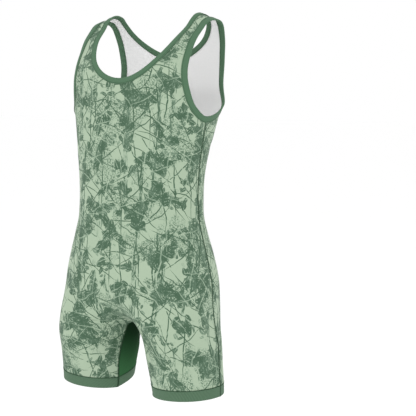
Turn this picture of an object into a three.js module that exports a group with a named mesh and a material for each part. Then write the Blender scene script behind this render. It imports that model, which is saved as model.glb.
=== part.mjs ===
import * as THREE from "three";

// Driving dimensions in millimetres. The wearer faces -Y, the wearer's left is +X, and the origin
// lies between the two shoulder straps, at the height where the neckline crosses the shoulder.
const clothWall = 1.6;
const seamGap = 0.3;
const neckHalfWidth = 107;
const strapTipHalfWidth = 145;
const frontNeckDrop = 138;
const backNeckDrop = 90;
const armpitLevel = -217;
const sideSeamY = -60;
const hemLevel = { front: -809, side: -800, back: -789 };
const hemBandHeight = 23;
const hemBandWall = 2.2;
const neckBindingWidth = 11;
const armholeBindingWidth = 12;
const bindingLeaf = 1.1;
const bindingClearance = 0.35;
const foldRoundness = 0.4;
const bodyPower = 2.35;
const legPower = 2;

// Mesh density: rows down the straps, rows down the body, rows down the legs, columns in half a panel.
const strapRows = 15;
const bodyRows = 18;
const legRows = 8;
const panelColumns = 10;
const gussetColumns = 6;

// Cross sections of the front and of the back. The station counts down the cloth from the shoulder
// ridge, and a tilt lowers the outer side of the shoulder.
const sectionColumns = ["station", "level", "tilt", "halfWidth", "sideY", "centreY"];
const ridgeTilt = 0.37;
const frontSections = table(sectionColumns, [
  [-12, -4.5, 0.33, 172, 18, 21],
  [0, 0, ridgeTilt, 172, 0, 0],
  [12, -4, 0.33, 172, -18, -21],
  [24, -15, 0.2, 172, -33, -37],
  [36, -30, 0.03, 172, -34, -54],
  [60, -57, 0, 171, -42, -92],
  [84, -84, 0, 171, -38, -120],
  [109, -109, 0, 172, -40, -138],
  [135, -135, 0, 173.5, -43, -146],
  [162, -162, 0, 171, -47, -147],
  [190, -190, 0, 165, -57, -145],
  [204, -204, 0, 164, -60, -145.5],
  [217, -217, 0, 161.4, -60, -147],
  [260, -260, 0, 153, -60, -157],
]);
const backSections = table(sectionColumns, [
  [-12, -4, 0.33, 172, -18, -21],
  [0, 0, ridgeTilt, 172, 0, 0],
  [12, -4.5, 0.33, 172, 18, 21],
  [24, -14, 0.2, 172, 26, 30],
  [36, -28, 0.04, 172, 25, 42],
  [60, -58, 0, 171, 24, 59],
  [84, -84, 0, 171, 23, 65],
  [109, -109, 0, 172, 15, 70],
  [135, -135, 0, 173.5, -3, 73],
  [162, -162, 0, 174, -22, 75],
  [190, -190, 0, 172, -46, 82],
  [204, -204, 0, 166.5, -57, 83],
  [217, -217, 0, 161.4, -60, 82.5],
  [260, -260, 0, 153, -60, 64.5],
]);

// Cross sections of the body below the arms, both halves with their widest place at the side seam.
const bodySections = table(["level", "halfWidth", "frontY", "backY"], [
  [-204, 165, -145.5, 83],
  [-217, 161.4, -147, 82.5],
  [-260, 153, -157, 64.5],
  [-300, 146, -165, 45],
  [-345, 141, -168, 30],
  [-390, 140, -168, 25],
  [-430, 142.5, -170, 22],
  [-470, 152, -173, 31],
  [-510, 163, -178, 42],
  [-560, 174, -183, 50],
  [-610, 177.5, -185, 54],
  [-660, 182, -185, 40],
  [-720, 188, -180, 28],
]);

// Cross sections of one leg of the garment. The rounding softens the fold where the legs part, and
// the splay turns the front of the leg outwards.
const legColumns = ["level", "axisX", "halfWidth", "frontY", "backY", "rounding", "splay"];
const legSections = table(legColumns, [
  [-540, 86, 91, -183, 48, 40, 0.05],
  [-620, 94, 86, -180, 50, 26, 0.07],
  [-660, 100.5, 84, -174, 32, 13, 0.08],
  [-690, 107, 83.5, -166, 19, 9, 0.075],
  [-730, 110.5, 82.5, -153, 15, 8, 0.06],
  [-775, 115.5, 80.5, -141, 11, 8, 0.04],
  [-803, 118, 78.5, -136, 10, 8, 0.035],
]);
const forkTop = -565;
const forkBottom = -682;
const forkSpread = 105;
const bodyScale = 60;
const legScale = 80;

// The seam between a panel and the crotch gusset: its height, the half width where it lies, and the
// upright axis that the cloth rows turn about.
const seamColumns = ["row", "level", "seamX", "axisX"];
const frontGussetSeam = table(seamColumns, [
  [0, -659, 0, 0],
  [1, -662, 13, 26],
  [2, -672, 21.5, 52],
  [3, -689, 27.5, 78],
  [4, -710, 32, 97],
  [5, -732, 36, 107],
  [6, -756, 40, 111],
  [7, hemLevel.front + hemBandHeight, 43.5, 114],
  [8, hemLevel.front, 46.5, 116],
]);
const backGussetSeam = table(seamColumns, [
  [0, -656, 0, 0],
  [1, -661, 11, 26],
  [2, -674, 17, 52],
  [3, -691, 23, 78],
  [4, -711, 29, 97],
  [5, -727, 36, 107],
  [6, -744, 42, 111],
  [7, hemLevel.back + hemBandHeight, 47, 114],
  [8, hemLevel.back, 50, 116],
]);
const sideSeamLegLevels = table(["row", "level"], [
  [0, -640],
  [2, -678],
  [4, -714],
  [6, -750],
  [7, hemLevel.side + hemBandHeight],
  [8, hemLevel.side],
]);

// The gusset is fanned out from lines that rise this far above it under the body.
const archLift = 61;
const archRows = 6;

// How the rows of a panel run: how full their curve is, how many rows the dip of the last strap row
// takes to fade, and how strongly the neckline rows crowd towards its middle.
const rowFullness = 0.8;
const dipRows = 8;
const neckCrowding = 1.6;

const camouflageCloth = { color: 0x7d9a80, roughness: 0.8, metalness: 0 };
const gussetCloth = { color: 0x36523b, roughness: 0.85, metalness: 0 };
const bindingCloth = { color: 0x587860, roughness: 0.85, metalness: 0 };
const bandCloth = { color: 0x5f7c63, roughness: 0.8, metalness: 0 };

function table(columns, rows) {
  return rows.map((row) => Object.fromEntries(columns.map((name, index) => [name, row[index]])));
}

// A smooth value from a table: cubic pieces whose slopes come from the neighbouring rows.
function sample(rows, key, value, column) {
  const rising = rows[1][key] > rows[0][key];
  const isPast = (row) => (rising ? value > row[key] : value < row[key]);
  let index = 0;
  while (index < rows.length - 2 && isPast(rows[index + 1])) {
    index += 1;
  }
  const slope = (a, b) => (rows[b][column] - rows[a][column]) / (rows[b][key] - rows[a][key]);
  const span = rows[index + 1][key] - rows[index][key];
  const t = Math.min(1, Math.max(0, (value - rows[index][key]) / span));
  const startSlope = index > 0 ? slope(index - 1, index + 1) : slope(index, index + 1);
  const last = index + 2 > rows.length - 1;
  const endSlope = last ? slope(index, index + 1) : slope(index, index + 2);
  const t2 = t * t;
  const t3 = t2 * t;
  return (
    (2 * t3 - 3 * t2 + 1) * rows[index][column] +
    (t3 - 2 * t2 + t) * span * startSlope +
    (3 * t2 - 2 * t3) * rows[index + 1][column] +
    (t3 - t2) * span * endSlope
  );
}

function mix(a, b, t) {
  return a + (b - a) * t;
}

function smooth(t) {
  const c = Math.min(1, Math.max(0, t));
  return c * c * (3 - 2 * c);
}

// The distance measure whose unit circle is a superellipse.
function powerNorm(a, b, power) {
  return (Math.abs(a) ** power + Math.abs(b) ** power) ** (1 / power);
}

// A point of the upper body at an angle from the centre line (0) to the side (90) and a station.
function upperPoint(side, angle, station) {
  const rows = side === "front" ? frontSections : backSections;
  const read = (column) => sample(rows, "station", station, column);
  const radians = THREE.MathUtils.degToRad(angle);
  const sine = Math.sin(radians);
  const cosine = Math.cos(radians);
  const radius = 1 / powerNorm(sine, cosine, bodyPower);
  const x = read("halfWidth") * radius * sine;
  const y = mix(read("sideY"), read("centreY"), radius * cosine);
  const z = read("level") - read("tilt") * (x - neckHalfWidth);
  return new THREE.Vector3(x, y, z);
}

// The angle and station of the upper body point with a given half width and height.
function upperPlace(side, x, z) {
  const rows = side === "front" ? frontSections : backSections;
  let low = 0;
  let high = -armpitLevel;
  for (let step = 0; step < 40; step += 1) {
    const middle = (low + high) / 2;
    const tilt = sample(rows, "station", middle, "tilt");
    const height = sample(rows, "station", middle, "level") - tilt * (x - neckHalfWidth);
    if (height > z) {
      low = middle;
    } else {
      high = middle;
    }
  }
  const ratio = Math.min(0.9999, x / sample(rows, "station", low, "halfWidth"));
  const across = (1 - ratio ** bodyPower) ** (1 / bodyPower);
  return [THREE.MathUtils.radToDeg(Math.atan2(ratio, across)), low];
}

// The neckline is close to a quarter of an ellipse on each side, from the shoulder to the centre
// line, and a little narrower at the back.
const neckNarrowing = { front: 1, back: 1.35 };

function neckPlace(side, t) {
  const drop = side === "front" ? frontNeckDrop : backNeckDrop;
  const turn = (Math.PI / 2) * t ** neckCrowding;
  return upperPlace(side, neckHalfWidth * Math.cos(turn) ** neckNarrowing[side], -drop * Math.sin(turn));
}

// The armhole runs straight down from the strap tip, then turns in a quarter ellipse to the armpit.
const armholeAngle = { front: 51.5, back: 47 };
const armholeTurnLevel = { front: -120, back: -140 };
const straightShare = 0.5;

function armholePlace(side, t) {
  const tipLevel = -ridgeTilt * (strapTipHalfWidth - neckHalfWidth) - 0.01;
  const tip = upperPlace(side, strapTipHalfWidth, tipLevel)[0];
  const turnStation = -armholeTurnLevel[side];
  if (t < straightShare) {
    const down = t / straightShare;
    return [mix(tip, armholeAngle[side], smooth(down)), turnStation * down];
  }
  const turn = ((t - straightShare) / (1 - straightShare)) * (Math.PI / 2);
  const angle = 90 - (90 - armholeAngle[side]) * Math.cos(turn);
  return [angle, mix(turnStation, -armpitLevel, Math.sin(turn))];
}

// Places at even distances along an edge.
function evenPlaces(side, edge, count) {
  const fine = 400;
  const places = [];
  const reach = [0];
  for (let i = 0; i <= fine; i += 1) {
    places.push(edge(side, i / fine));
    if (i > 0) {
      const here = upperPoint(side, places[i][0], places[i][1]);
      const before = upperPoint(side, places[i - 1][0], places[i - 1][1]);
      reach.push(reach[i - 1] + here.distanceTo(before));
    }
  }
  const result = [];
  for (let i = 0; i <= count; i += 1) {
    const target = (reach[fine] * i) / count;
    const k = Math.max(1, reach.findIndex((value) => value >= target - 1e-9));
    const t = (target - reach[k - 1]) / Math.max(1e-9, reach[k] - reach[k - 1]);
    result.push([mix(places[k - 1][0], places[k][0], t), mix(places[k - 1][1], places[k][1], t)]);
  }
  return result;
}

// How far outside the figure a point is: below zero inside, above zero outside.
function figureField(x, y, z) {
  const body = (column) => sample(bodySections, "level", z, column);
  const leg = (column) => sample(legSections, "level", z, column);
  const bodyDepth = y < sideSeamY ? sideSeamY - body("frontY") : body("backY") - sideSeamY;
  const bodyNorm = powerNorm(x / body("halfWidth"), (y - sideSeamY) / bodyDepth, bodyPower);
  const bodyField = (bodyNorm - 1) * bodyScale;
  if (z > forkTop) {
    return bodyField;
  }
  const legDepth = y < sideSeamY ? sideSeamY - leg("frontY") : leg("backY") - sideSeamY;
  const axisX = leg("axisX") + leg("splay") * (sideSeamY - y);
  const away = Math.hypot(x, leg("rounding")) - axisX;
  const legNorm = powerNorm(away / leg("halfWidth"), (y - sideSeamY) / legDepth, legPower);
  const legField = (legNorm - 1) * legScale;
  return mix(bodyField, legField, smooth((forkTop - z) / (forkTop - forkBottom)));
}

// The place where a ray from inside the figure leaves it.
function castRay(origin, direction) {
  const place = (distance) => origin.clone().addScaledVector(direction, distance);
  const outside = (distance) => {
    const point = place(distance);
    return figureField(point.x, point.y, point.z) > 0;
  };
  const stride = 6;
  const limit = 600;
  let high = stride;
  while (!outside(high) && high < limit) {
    high += stride;
  }
  let low = high - stride;
  for (let step = 0; step < 30; step += 1) {
    const middle = (low + high) / 2;
    if (outside(middle)) {
      high = middle;
    } else {
      low = middle;
    }
  }
  return place(low);
}

// A point of the body or of a leg, found from the upright axis that its row turns about.
function lowerPoint(side, axisX, angle, level) {
  const body = (column) => sample(bodySections, "level", level, column);
  const leg = (column) => sample(legSections, "level", level, column);
  const edge = side === "front" ? "frontY" : "backY";
  const bodyRatio = body("halfWidth") / Math.abs(body(edge) - sideSeamY);
  const legRatio = leg("halfWidth") / Math.abs(leg(edge) - sideSeamY);
  const ratio = mix(bodyRatio, legRatio, smooth(axisX / forkSpread));
  const radians = THREE.MathUtils.degToRad(angle);
  const forward = side === "front" ? -1 : 1;
  const direction = new THREE.Vector3(ratio * Math.sin(radians), forward * Math.cos(radians), 0);
  return castRay(new THREE.Vector3(axisX, sideSeamY, level), direction.normalize());
}

function bodyPoint(side, angle, station) {
  return station < -armpitLevel ? upperPoint(side, angle, station) : lowerPoint(side, 0, angle, -station);
}

// The outward direction of the figure at a point below the arms.
function fieldNormal(point) {
  const step = 0.5;
  const field = (place) => figureField(place.x, place.y, place.z);
  const slope = (x, y, z) => {
    const away = new THREE.Vector3(x, y, z);
    return field(point.clone().add(away)) - field(point.clone().sub(away));
  };
  return new THREE.Vector3(slope(step, 0, 0), slope(0, step, 0), slope(0, 0, step)).normalize();
}

const ridgeNormal = new THREE.Vector3(0.347, 0, 0.938);

function bodyNormal(side, angle, station) {
  if (station < 0.5) {
    return ridgeNormal.clone();
  }
  if (station > -armpitLevel - 1) {
    return fieldNormal(bodyPoint(side, angle, Math.max(station, -armpitLevel)));
  }
  const turn = 0.2;
  const drop = 0.4;
  const around = upperPoint(side, angle + turn, station).sub(upperPoint(side, angle - turn, station));
  const down = upperPoint(side, angle, station + drop).sub(upperPoint(side, angle, station - drop));
  const normal = around.cross(down).normalize();
  return side === "front" ? normal.negate() : normal;
}

// One row of cloth points along a curve, the outer ones set in from its ends by the given widths.
function rowPoints(curve, startWidth, endWidth) {
  const fine = 60;
  const reach = [0];
  let before = curve(0).point;
  for (let i = 1; i <= fine; i += 1) {
    const here = curve(i / fine).point;
    reach.push(reach[i - 1] + here.distanceTo(before));
    before = here;
  }
  const first = startWidth / reach[fine];
  const last = 1 - endWidth / reach[fine];
  const row = [];
  for (let c = 0; c <= panelColumns; c += 1) {
    const inner = mix(first, last, (c - 1) / (panelColumns - 2));
    const share = c === 0 ? 0 : c === panelColumns ? 1 : inner;
    const target = share * reach[fine];
    const k = Math.max(1, reach.findIndex((value) => value >= target - 1e-9));
    const t = (k - 1 + (target - reach[k - 1]) / (reach[k] - reach[k - 1])) / fine;
    row.push(curve(Math.min(1, t)));
  }
  return row;
}

// A row in the plane of angle and station that leaves the neckline and the armhole squarely.
const angleToLength = 2.6;

function strapCurve(side, neck, armhole, row) {
  const toPlane = (place) => new THREE.Vector2(place[0] * angleToLength, place[1]);
  const along = (edge) => {
    const before = toPlane(edge[Math.max(0, row - 1)]);
    const after = toPlane(edge[Math.min(strapRows, row + 1)]);
    return after.sub(before).normalize();
  };
  const start = toPlane(neck[row]);
  const end = toPlane(armhole[row]);
  const neckAlong = along(neck);
  const armholeAlong = along(armhole);
  const corner = (row / strapRows) ** 3;
  const neckSquare = new THREE.Vector2(neckAlong.y, -neckAlong.x);
  const armholeSquare = new THREE.Vector2(-armholeAlong.y, armholeAlong.x);
  const fromNeck = neckSquare.clone().lerp(new THREE.Vector2(0.2, 0.98), corner).normalize();
  const fromArmhole = armholeSquare.clone().lerp(new THREE.Vector2(-0.4, 0.92), corner).normalize();
  const reach = start.distanceTo(end) * rowFullness;
  const plane = (t) => {
    const t2 = t * t;
    const t3 = t2 * t;
    return new THREE.Vector2()
      .addScaledVector(start, 2 * t3 - 3 * t2 + 1)
      .addScaledVector(fromNeck, (t3 - 2 * t2 + t) * reach)
      .addScaledVector(end, 3 * t2 - 2 * t3)
      .addScaledVector(fromArmhole, (t2 - t3) * reach);
  };
  const neckWidth = neckBindingWidth / fromNeck.dot(neckSquare);
  const armholeWidth = armholeBindingWidth / fromArmhole.dot(armholeSquare);
  return { plane, neckWidth, armholeWidth };
}

function placedOn(side, plane) {
  return (t) => {
    const place = plane(t);
    const angle = place.x / angleToLength;
    const point = bodyPoint(side, angle, place.y);
    return { point, normal: bodyNormal(side, angle, place.y) };
  };
}

// The angle about an upright axis at which a point of the figure has a given half width.
function angleOf(side, axisX, x, level) {
  let low = -80;
  let high = 0;
  for (let step = 0; step < 24; step += 1) {
    const middle = (low + high) / 2;
    if (lowerPoint(side, axisX, middle, level).x < x) {
      low = middle;
    } else {
      high = middle;
    }
  }
  return (low + high) / 2;
}

// The rows of half a panel, from the shoulder to the leg hem: straps, body, then one leg.
function halfPanel(side) {
  const neck = evenPlaces(side, neckPlace, strapRows);
  const armhole = evenPlaces(side, armholePlace, strapRows);
  const rows = [];
  let lastStrap;
  for (let row = 0; row <= strapRows; row += 1) {
    lastStrap = strapCurve(side, neck, armhole, row);
    rows.push(rowPoints(placedOn(side, lastStrap.plane), lastStrap.neckWidth, lastStrap.armholeWidth));
  }
  const seam = side === "front" ? frontGussetSeam : backGussetSeam;
  const neckBottom = neck[strapRows][1];
  const cornerStart = lastStrap.plane(0);
  const cornerEnd = lastStrap.plane(1);
  const underNeck = neckBottom + neckBindingWidth;
  const underArm = armholeBindingWidth - armpitLevel;
  for (let row = 1; row <= bodyRows; row += 1) {
    const down = (row - 1) / (bodyRows - 1);
    const start = new THREE.Vector2(0, mix(underNeck, -seam[0].level, down));
    const end = new THREE.Vector2(90 * angleToLength, mix(underArm, -sideSeamLegLevels[0].level, down));
    const bend = 1 - smooth(row / dipRows);
    const plane = (t) => {
      const dip = lastStrap.plane(t).sub(cornerStart.clone().lerp(cornerEnd, t));
      return start.clone().lerp(end, t).addScaledVector(dip, bend);
    };
    rows.push(rowPoints(placedOn(side, plane), neckBindingWidth, armholeBindingWidth));
  }
  for (let row = 1; row <= legRows; row += 1) {
    const read = (column) => sample(seam, "row", row, column);
    const sideLevel = sample(sideSeamLegLevels, "row", row, "level");
    const seamAngle = angleOf(side, read("axisX"), read("seamX"), read("level"));
    const curve = (t) => {
      const angle = mix(seamAngle, 90, t);
      const point = lowerPoint(side, read("axisX"), angle, mix(read("level"), sideLevel, smooth(t)));
      return { point, normal: fieldNormal(point) };
    };
    rows.push(rowPoints(curve, neckBindingWidth, armholeBindingWidth));
  }
  return rows;
}

// The crotch gusset, from its middle row under the body down to the hem of one leg.
function halfGusset(front, back) {
  const rows = [];
  const archRow = strapRows + bodyRows;
  for (let row = 0; row <= legRows; row += 1) {
    const start = front[archRow + row][0];
    const end = back[archRow + row][0];
    const lift = archLift * Math.max(0, 1 - row / archRows) ** 2;
    const axisX = sample(frontGussetSeam, "row", row, "axisX");
    const level = sample(frontGussetSeam, "row", row, "level") + lift;
    const origin = new THREE.Vector3(axisX, sideSeamY, level);
    const toStart = start.point.clone().sub(origin).normalize();
    const toEnd = end.point.clone().sub(origin).normalize();
    const turn = toStart.angleTo(toEnd);
    const points = [start];
    for (let column = 1; column < gussetColumns; column += 1) {
      const t = column / gussetColumns;
      const direction = toStart
        .clone()
        .multiplyScalar(Math.sin((1 - t) * turn) / Math.sin(turn))
        .addScaledVector(toEnd, Math.sin(t * turn) / Math.sin(turn))
        .normalize();
      const point = castRay(origin, direction);
      points.push({ point, normal: fieldNormal(point) });
    }
    points.push(end);
    rows.push(points);
  }
  return rows;
}

// Cloth points moved out, or mirrored to the wearer's right.
function moved(rows, outward) {
  return rows.map((row) =>
    row.map(({ point, normal }) => ({ point: point.clone().addScaledVector(normal, outward), normal })),
  );
}

function mirrored(rows) {
  const flip = (v) => new THREE.Vector3(-v.x, v.y, v.z);
  return rows.map((row) =>
    row.map(({ point, normal }) => ({ point: flip(point), normal: flip(normal) })),
  );
}

// Edges of a grid of rows drawn back by half a seam gap, squarely to the seam. The side edges start
// at the rows given, and a start edge that meets its mirror image does so at its first row.
function drawnBack(rows, { top, bottom, startFrom, endFrom }) {
  const result = rows.map((row) => row.map(({ point, normal }) => ({ point: point.clone(), normal })));
  const lastRow = rows.length - 1;
  const lastColumn = rows[0].length - 1;
  const at = (r, c) => rows[r][c].point;
  const pull = (r, c, before, after, inside) => {
    const away = after.clone().sub(before).cross(rows[r][c].normal).normalize();
    const toward = Math.sign(away.dot(inside.clone().sub(at(r, c))));
    result[r][c].point.addScaledVector(away, (toward * seamGap) / 2);
  };
  const pullRow = (r, inner) => {
    for (let c = 0; c <= lastColumn; c += 1) {
      pull(r, c, at(r, Math.max(0, c - 1)), at(r, Math.min(lastColumn, c + 1)), at(inner, c));
    }
  };
  const pullColumn = (from, c, inner) => {
    for (let r = from; r <= lastRow; r += 1) {
      const after = at(Math.min(lastRow, r + 1), c);
      const image = new THREE.Vector3(-after.x, after.y, after.z);
      const meetsImage = r === from && Math.abs(at(r, c).x) < 0.001;
      const before = meetsImage ? image : at(Math.max(from, r - 1), c);
      const inside = meetsImage && from > 0 ? at(r - 1, c) : at(r, inner);
      pull(r, c, before, after, inside);
    }
  };
  if (top) {
    pullRow(0, 1);
  }
  if (bottom) {
    pullRow(lastRow, lastRow - 1);
  }
  pullColumn(startFrom, 0, 1);
  pullColumn(endFrom, lastColumn, lastColumn - 1);
  return result;
}

// A list of triangles whose corners are shared where they lie in one place.
function sharedTriangles() {
  const corners = [];
  const triangles = [];
  const found = new Map();
  const indexOf = (corner) => {
    const key = corner.point.toArray().map((value) => Math.round(value * 500)).join(" ");
    if (!found.has(key)) {
      found.set(key, corners.length);
      corners.push(corner);
    }
    return found.get(key);
  };
  const add = (...three) => {
    const [a, b, c] = three.map(indexOf);
    if (a !== b && b !== c && c !== a) {
      triangles.push([a, b, c]);
    }
  };
  return { corners, triangles, add };
}

// Closed cloth wall over one or more grids of rows that share points, each with its own facing.
function clothGeometry(grids, wall) {
  const { corners, triangles, add } = sharedTriangles();
  for (const { rows, reversed } of grids) {
    for (let r = 0; r + 1 < rows.length; r += 1) {
      for (let c = 0; c + 1 < rows[r].length; c += 1) {
        const a = rows[r][c];
        const b = rows[r][c + 1];
        const d = rows[r + 1][c + 1];
        const e = rows[r + 1][c];
        if (reversed) {
          add(a, b, d);
          add(a, d, e);
        } else {
          add(a, d, b);
          add(a, e, d);
        }
      }
    }
  }
  const count = corners.length;
  const edges = new Map();
  for (const [a, b, c] of triangles) {
    for (const [from, to] of [[a, b], [b, c], [c, a]]) {
      edges.set(`${from} ${to}`, [from, to]);
    }
  }
  const indices = [];
  for (const [a, b, c] of triangles) {
    indices.push(a, b, c, c + count, b + count, a + count);
  }
  for (const [from, to] of edges.values()) {
    if (!edges.has(`${to} ${from}`)) {
      indices.push(to, from, from + count, to, from + count, to + count);
    }
  }
  const outer = corners.map(({ point }) => point);
  const inner = corners.map(({ point, normal }) => point.clone().addScaledVector(normal, -wall));
  return indexedGeometry([...outer, ...inner], indices);
}

function indexedGeometry(points, indices) {
  const geometry = new THREE.BufferGeometry();
  geometry.setAttribute("position", new THREE.Float32BufferAttribute(points.flatMap((p) => p.toArray()), 3));
  geometry.setIndex(indices);
  geometry.computeVertexNormals();
  return geometry;
}

// A folded strip over a cloth edge, from places that each hold the edge and a point inside it. Its
// faces are split from corner to corner the same way as those of the cloth that they cover.
function bindingGeometry(places, reversed) {
  const near = bindingClearance;
  const far = bindingClearance + bindingLeaf;
  const shoulder = near + bindingLeaf * foldRoundness;
  const section = [
    { inside: 1, out: far },
    { beyond: shoulder, out: far },
    { beyond: far, out: -clothWall / 2 },
    { beyond: shoulder, out: -clothWall - far },
    { inside: 1, out: -clothWall - far },
    { inside: 1, out: -clothWall - near },
    { beyond: near, out: -clothWall - near },
    { beyond: near, out: near },
    { inside: 1, out: near },
  ];
  const rings = places.map(({ edge, within, inward }) => {
    const way = (inward ?? within).point.clone().sub(edge.point).normalize();
    return section.map(({ inside, beyond, out }) => {
      const base = inside ? within : edge;
      const point = base.point.clone().addScaledVector(base.normal, out);
      return { point: inside ? point : point.addScaledVector(way, -beyond) };
    });
  });
  const { corners, triangles, add } = sharedTriangles();
  rings.forEach((ring, i) => {
    const next = rings[(i + 1) % rings.length];
    ring.forEach((a, k) => {
      const after = (k + 1) % section.length;
      const b = ring[after];
      const c = next[after];
      const d = next[k];
      const startsInside = Boolean(section[k].inside);
      const fromFirst = startsInside === (places[i].split === "within");
      const halves = fromFirst ? [[a, b, c], [a, c, d]] : [[b, c, d], [b, d, a]];
      for (const half of halves) {
        add(...(reversed ? half : half.reverse()));
      }
    });
  });
  return indexedGeometry(corners.map(({ point }) => point), triangles.flat());
}

const front = halfPanel("front");
const back = halfPanel("back");
const gusset = halfGusset(front, back);
const archRow = strapRows + bodyRows;
const bandRow = archRow + legRows - 1;
const group = new THREE.Group();

function addPiece(name, geometry, cloth) {
  const mesh = new THREE.Mesh(geometry, new THREE.MeshStandardMaterial(cloth));
  mesh.name = name;
  group.add(mesh);
}

function addPanel(name, rows, facesBack) {
  const seams = { top: true, bottom: true, endFrom: strapRows, startFrom: archRow };
  const half = drawnBack(rows.slice(0, bandRow + 1), seams);
  const grids = [
    { rows: half, reversed: facesBack },
    { rows: mirrored(half), reversed: !facesBack },
  ];
  addPiece(name, clothGeometry(grids, clothWall), camouflageCloth);
}

function addGusset() {
  const seams = { bottom: true, startFrom: 0, endFrom: 0 };
  const half = drawnBack(gusset.slice(0, legRows), seams);
  const grids = [
    { rows: half, reversed: true },
    { rows: mirrored(half), reversed: false },
  ];
  addPiece("crotch_gusset", clothGeometry(grids, clothWall), gussetCloth);
}

function addBand(name, rows, facesBack, cloth) {
  const seams = { top: true, startFrom: 0, endFrom: 0 };
  const outward = (hemBandWall - clothWall) / 2;
  const half = drawnBack(moved(rows, outward), seams);
  addPiece(`${name}_left`, clothGeometry([{ rows: half, reversed: facesBack }], hemBandWall), cloth);
  const other = [{ rows: mirrored(half), reversed: !facesBack }];
  addPiece(`${name}_right`, clothGeometry(other, hemBandWall), cloth);
}

function centrePlace(side, drop) {
  return { point: bodyPoint(side, 0, drop), normal: bodyNormal(side, 0, drop) };
}

// The places of a binding beside one edge of a panel, in the order of its rows or against it.
function edgePlaces(rows, edgeColumn, withinColumn, forward) {
  const rising = edgeColumn < withinColumn ? "edge" : "within";
  const falling = rising === "edge" ? "within" : "edge";
  const split = forward ? rising : falling;
  const places = rows
    .slice(0, strapRows)
    .map((row) => ({ edge: row[edgeColumn], within: row[withinColumn], split }));
  return forward ? places : places.reverse();
}

function neckPlaces() {
  const bottom = (side, rows, drop) => ({
    edge: rows[strapRows][0],
    within: centrePlace(side, drop + neckBindingWidth),
    split: "within",
  });
  return [
    ...edgePlaces(front, 0, 1, true),
    bottom("front", front, frontNeckDrop),
    ...edgePlaces(mirrored(front), 0, 1, false),
    ...edgePlaces(mirrored(back), 0, 1, true).slice(1),
    bottom("back", back, backNeckDrop),
    ...edgePlaces(back, 0, 1, false).slice(0, -1),
  ];
}

function armholePlaces() {
  const end = panelColumns;
  const under = lowerPoint("front", 0, 90, armpitLevel - armholeBindingWidth);
  const seam = { point: under, normal: fieldNormal(under) };
  const armpit = front[strapRows][end];
  const corner = [front[strapRows][end - 1], seam, back[strapRows][end - 1]].map((within) => {
    return { edge: armpit, within, inward: seam, split: "edge" };
  });
  const up = edgePlaces(back, end, end - 1, false).slice(0, -1);
  return [...edgePlaces(front, end, end - 1, true), ...corner, ...up];
}

addPanel("front_panel", front, false);
addPanel("back_panel", back, true);
addGusset();
addPiece("neck_binding", bindingGeometry(neckPlaces(), true), bindingCloth);
const leftArmhole = armholePlaces();
const rightArmhole = leftArmhole.map(({ edge, within, split }) => {
  const [[flippedEdge, flippedWithin]] = mirrored([[edge, within]]);
  return { edge: flippedEdge, within: flippedWithin, split };
});
addPiece("armhole_binding_left", bindingGeometry(leftArmhole, false), bindingCloth);
addPiece("armhole_binding_right", bindingGeometry(rightArmhole, true), bindingCloth);
addBand("hem_band_front", front.slice(bandRow), false, bandCloth);
addBand("hem_band_back", back.slice(bandRow), true, bandCloth);
addBand("hem_band_gusset", gusset.slice(legRows - 1), true, bandCloth);

export default group;
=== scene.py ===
# %% [markdown]
# # A wrestling singlet
# A singlet is a one-piece suit of stretch cloth: a front and a back panel with wide straps, a
# gusset between the legs, a folded tape round the neck and each armhole, and an elastic band
# round each leg. The frame is the CAD model of the same suit. We load it first. Everything that
# we make has to stay in it.

# %% Load the frame
import math
import bpy
import numpy as np
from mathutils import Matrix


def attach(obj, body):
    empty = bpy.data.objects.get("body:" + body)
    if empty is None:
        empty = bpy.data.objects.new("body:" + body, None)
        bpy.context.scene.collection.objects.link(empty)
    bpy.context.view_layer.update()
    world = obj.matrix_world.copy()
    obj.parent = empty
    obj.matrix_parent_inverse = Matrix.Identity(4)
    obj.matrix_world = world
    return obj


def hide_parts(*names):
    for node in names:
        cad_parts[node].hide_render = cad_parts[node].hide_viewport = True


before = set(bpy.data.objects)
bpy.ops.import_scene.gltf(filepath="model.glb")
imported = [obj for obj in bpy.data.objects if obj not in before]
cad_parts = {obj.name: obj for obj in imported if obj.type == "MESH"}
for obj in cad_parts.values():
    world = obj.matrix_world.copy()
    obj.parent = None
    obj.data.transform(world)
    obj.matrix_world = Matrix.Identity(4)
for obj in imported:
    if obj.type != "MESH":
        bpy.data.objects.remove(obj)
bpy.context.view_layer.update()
bpy.ops.object.select_all(action="DESELECT")

# %% [markdown]
# ## The camera
# The suit was photographed from its left front, a little to one side of the middle of the image.
# The camera stands 2.55 m away and looks down by five and a half degrees, at the middle of the
# suit. A shift of the lens, mostly to the side, puts the suit where it is in the image.

# %% Place the camera
camera_turn, camera_pitch = math.radians(33.52), math.radians(5.5)
camera_away, camera_height = 2.55, -0.151
image_side = 416
focal_pixels = 1167
axis_column, axis_row = 158.0, 197.2
sensor_width = 36

bpy.ops.object.camera_add(
    location=(camera_away * math.sin(camera_turn), -camera_away * math.cos(camera_turn), camera_height),
    rotation=(math.pi / 2 - camera_pitch, 0, camera_turn),
)
camera = bpy.context.object
camera.data.sensor_width = sensor_width
camera.data.lens = focal_pixels / image_side * sensor_width
camera.data.shift_x = (image_side / 2 - axis_column) / image_side
camera.data.shift_y = -(image_side / 2 - axis_row) / image_side
bpy.context.scene.camera = camera
print("lens %.1f mm, shift %.3f %.3f" % (camera.data.lens, camera.data.shift_x, camera.data.shift_y))

# %% [markdown]
# ## The sizes
# The form of a worn suit is easier to give as cross sections than to sculpt. These tables are in
# millimetres. The wearer faces -Y, the wearer's left is +X, and the origin lies between the
# straps at the top of the neckline. A station counts down the cloth from the shoulder ridge.

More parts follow.
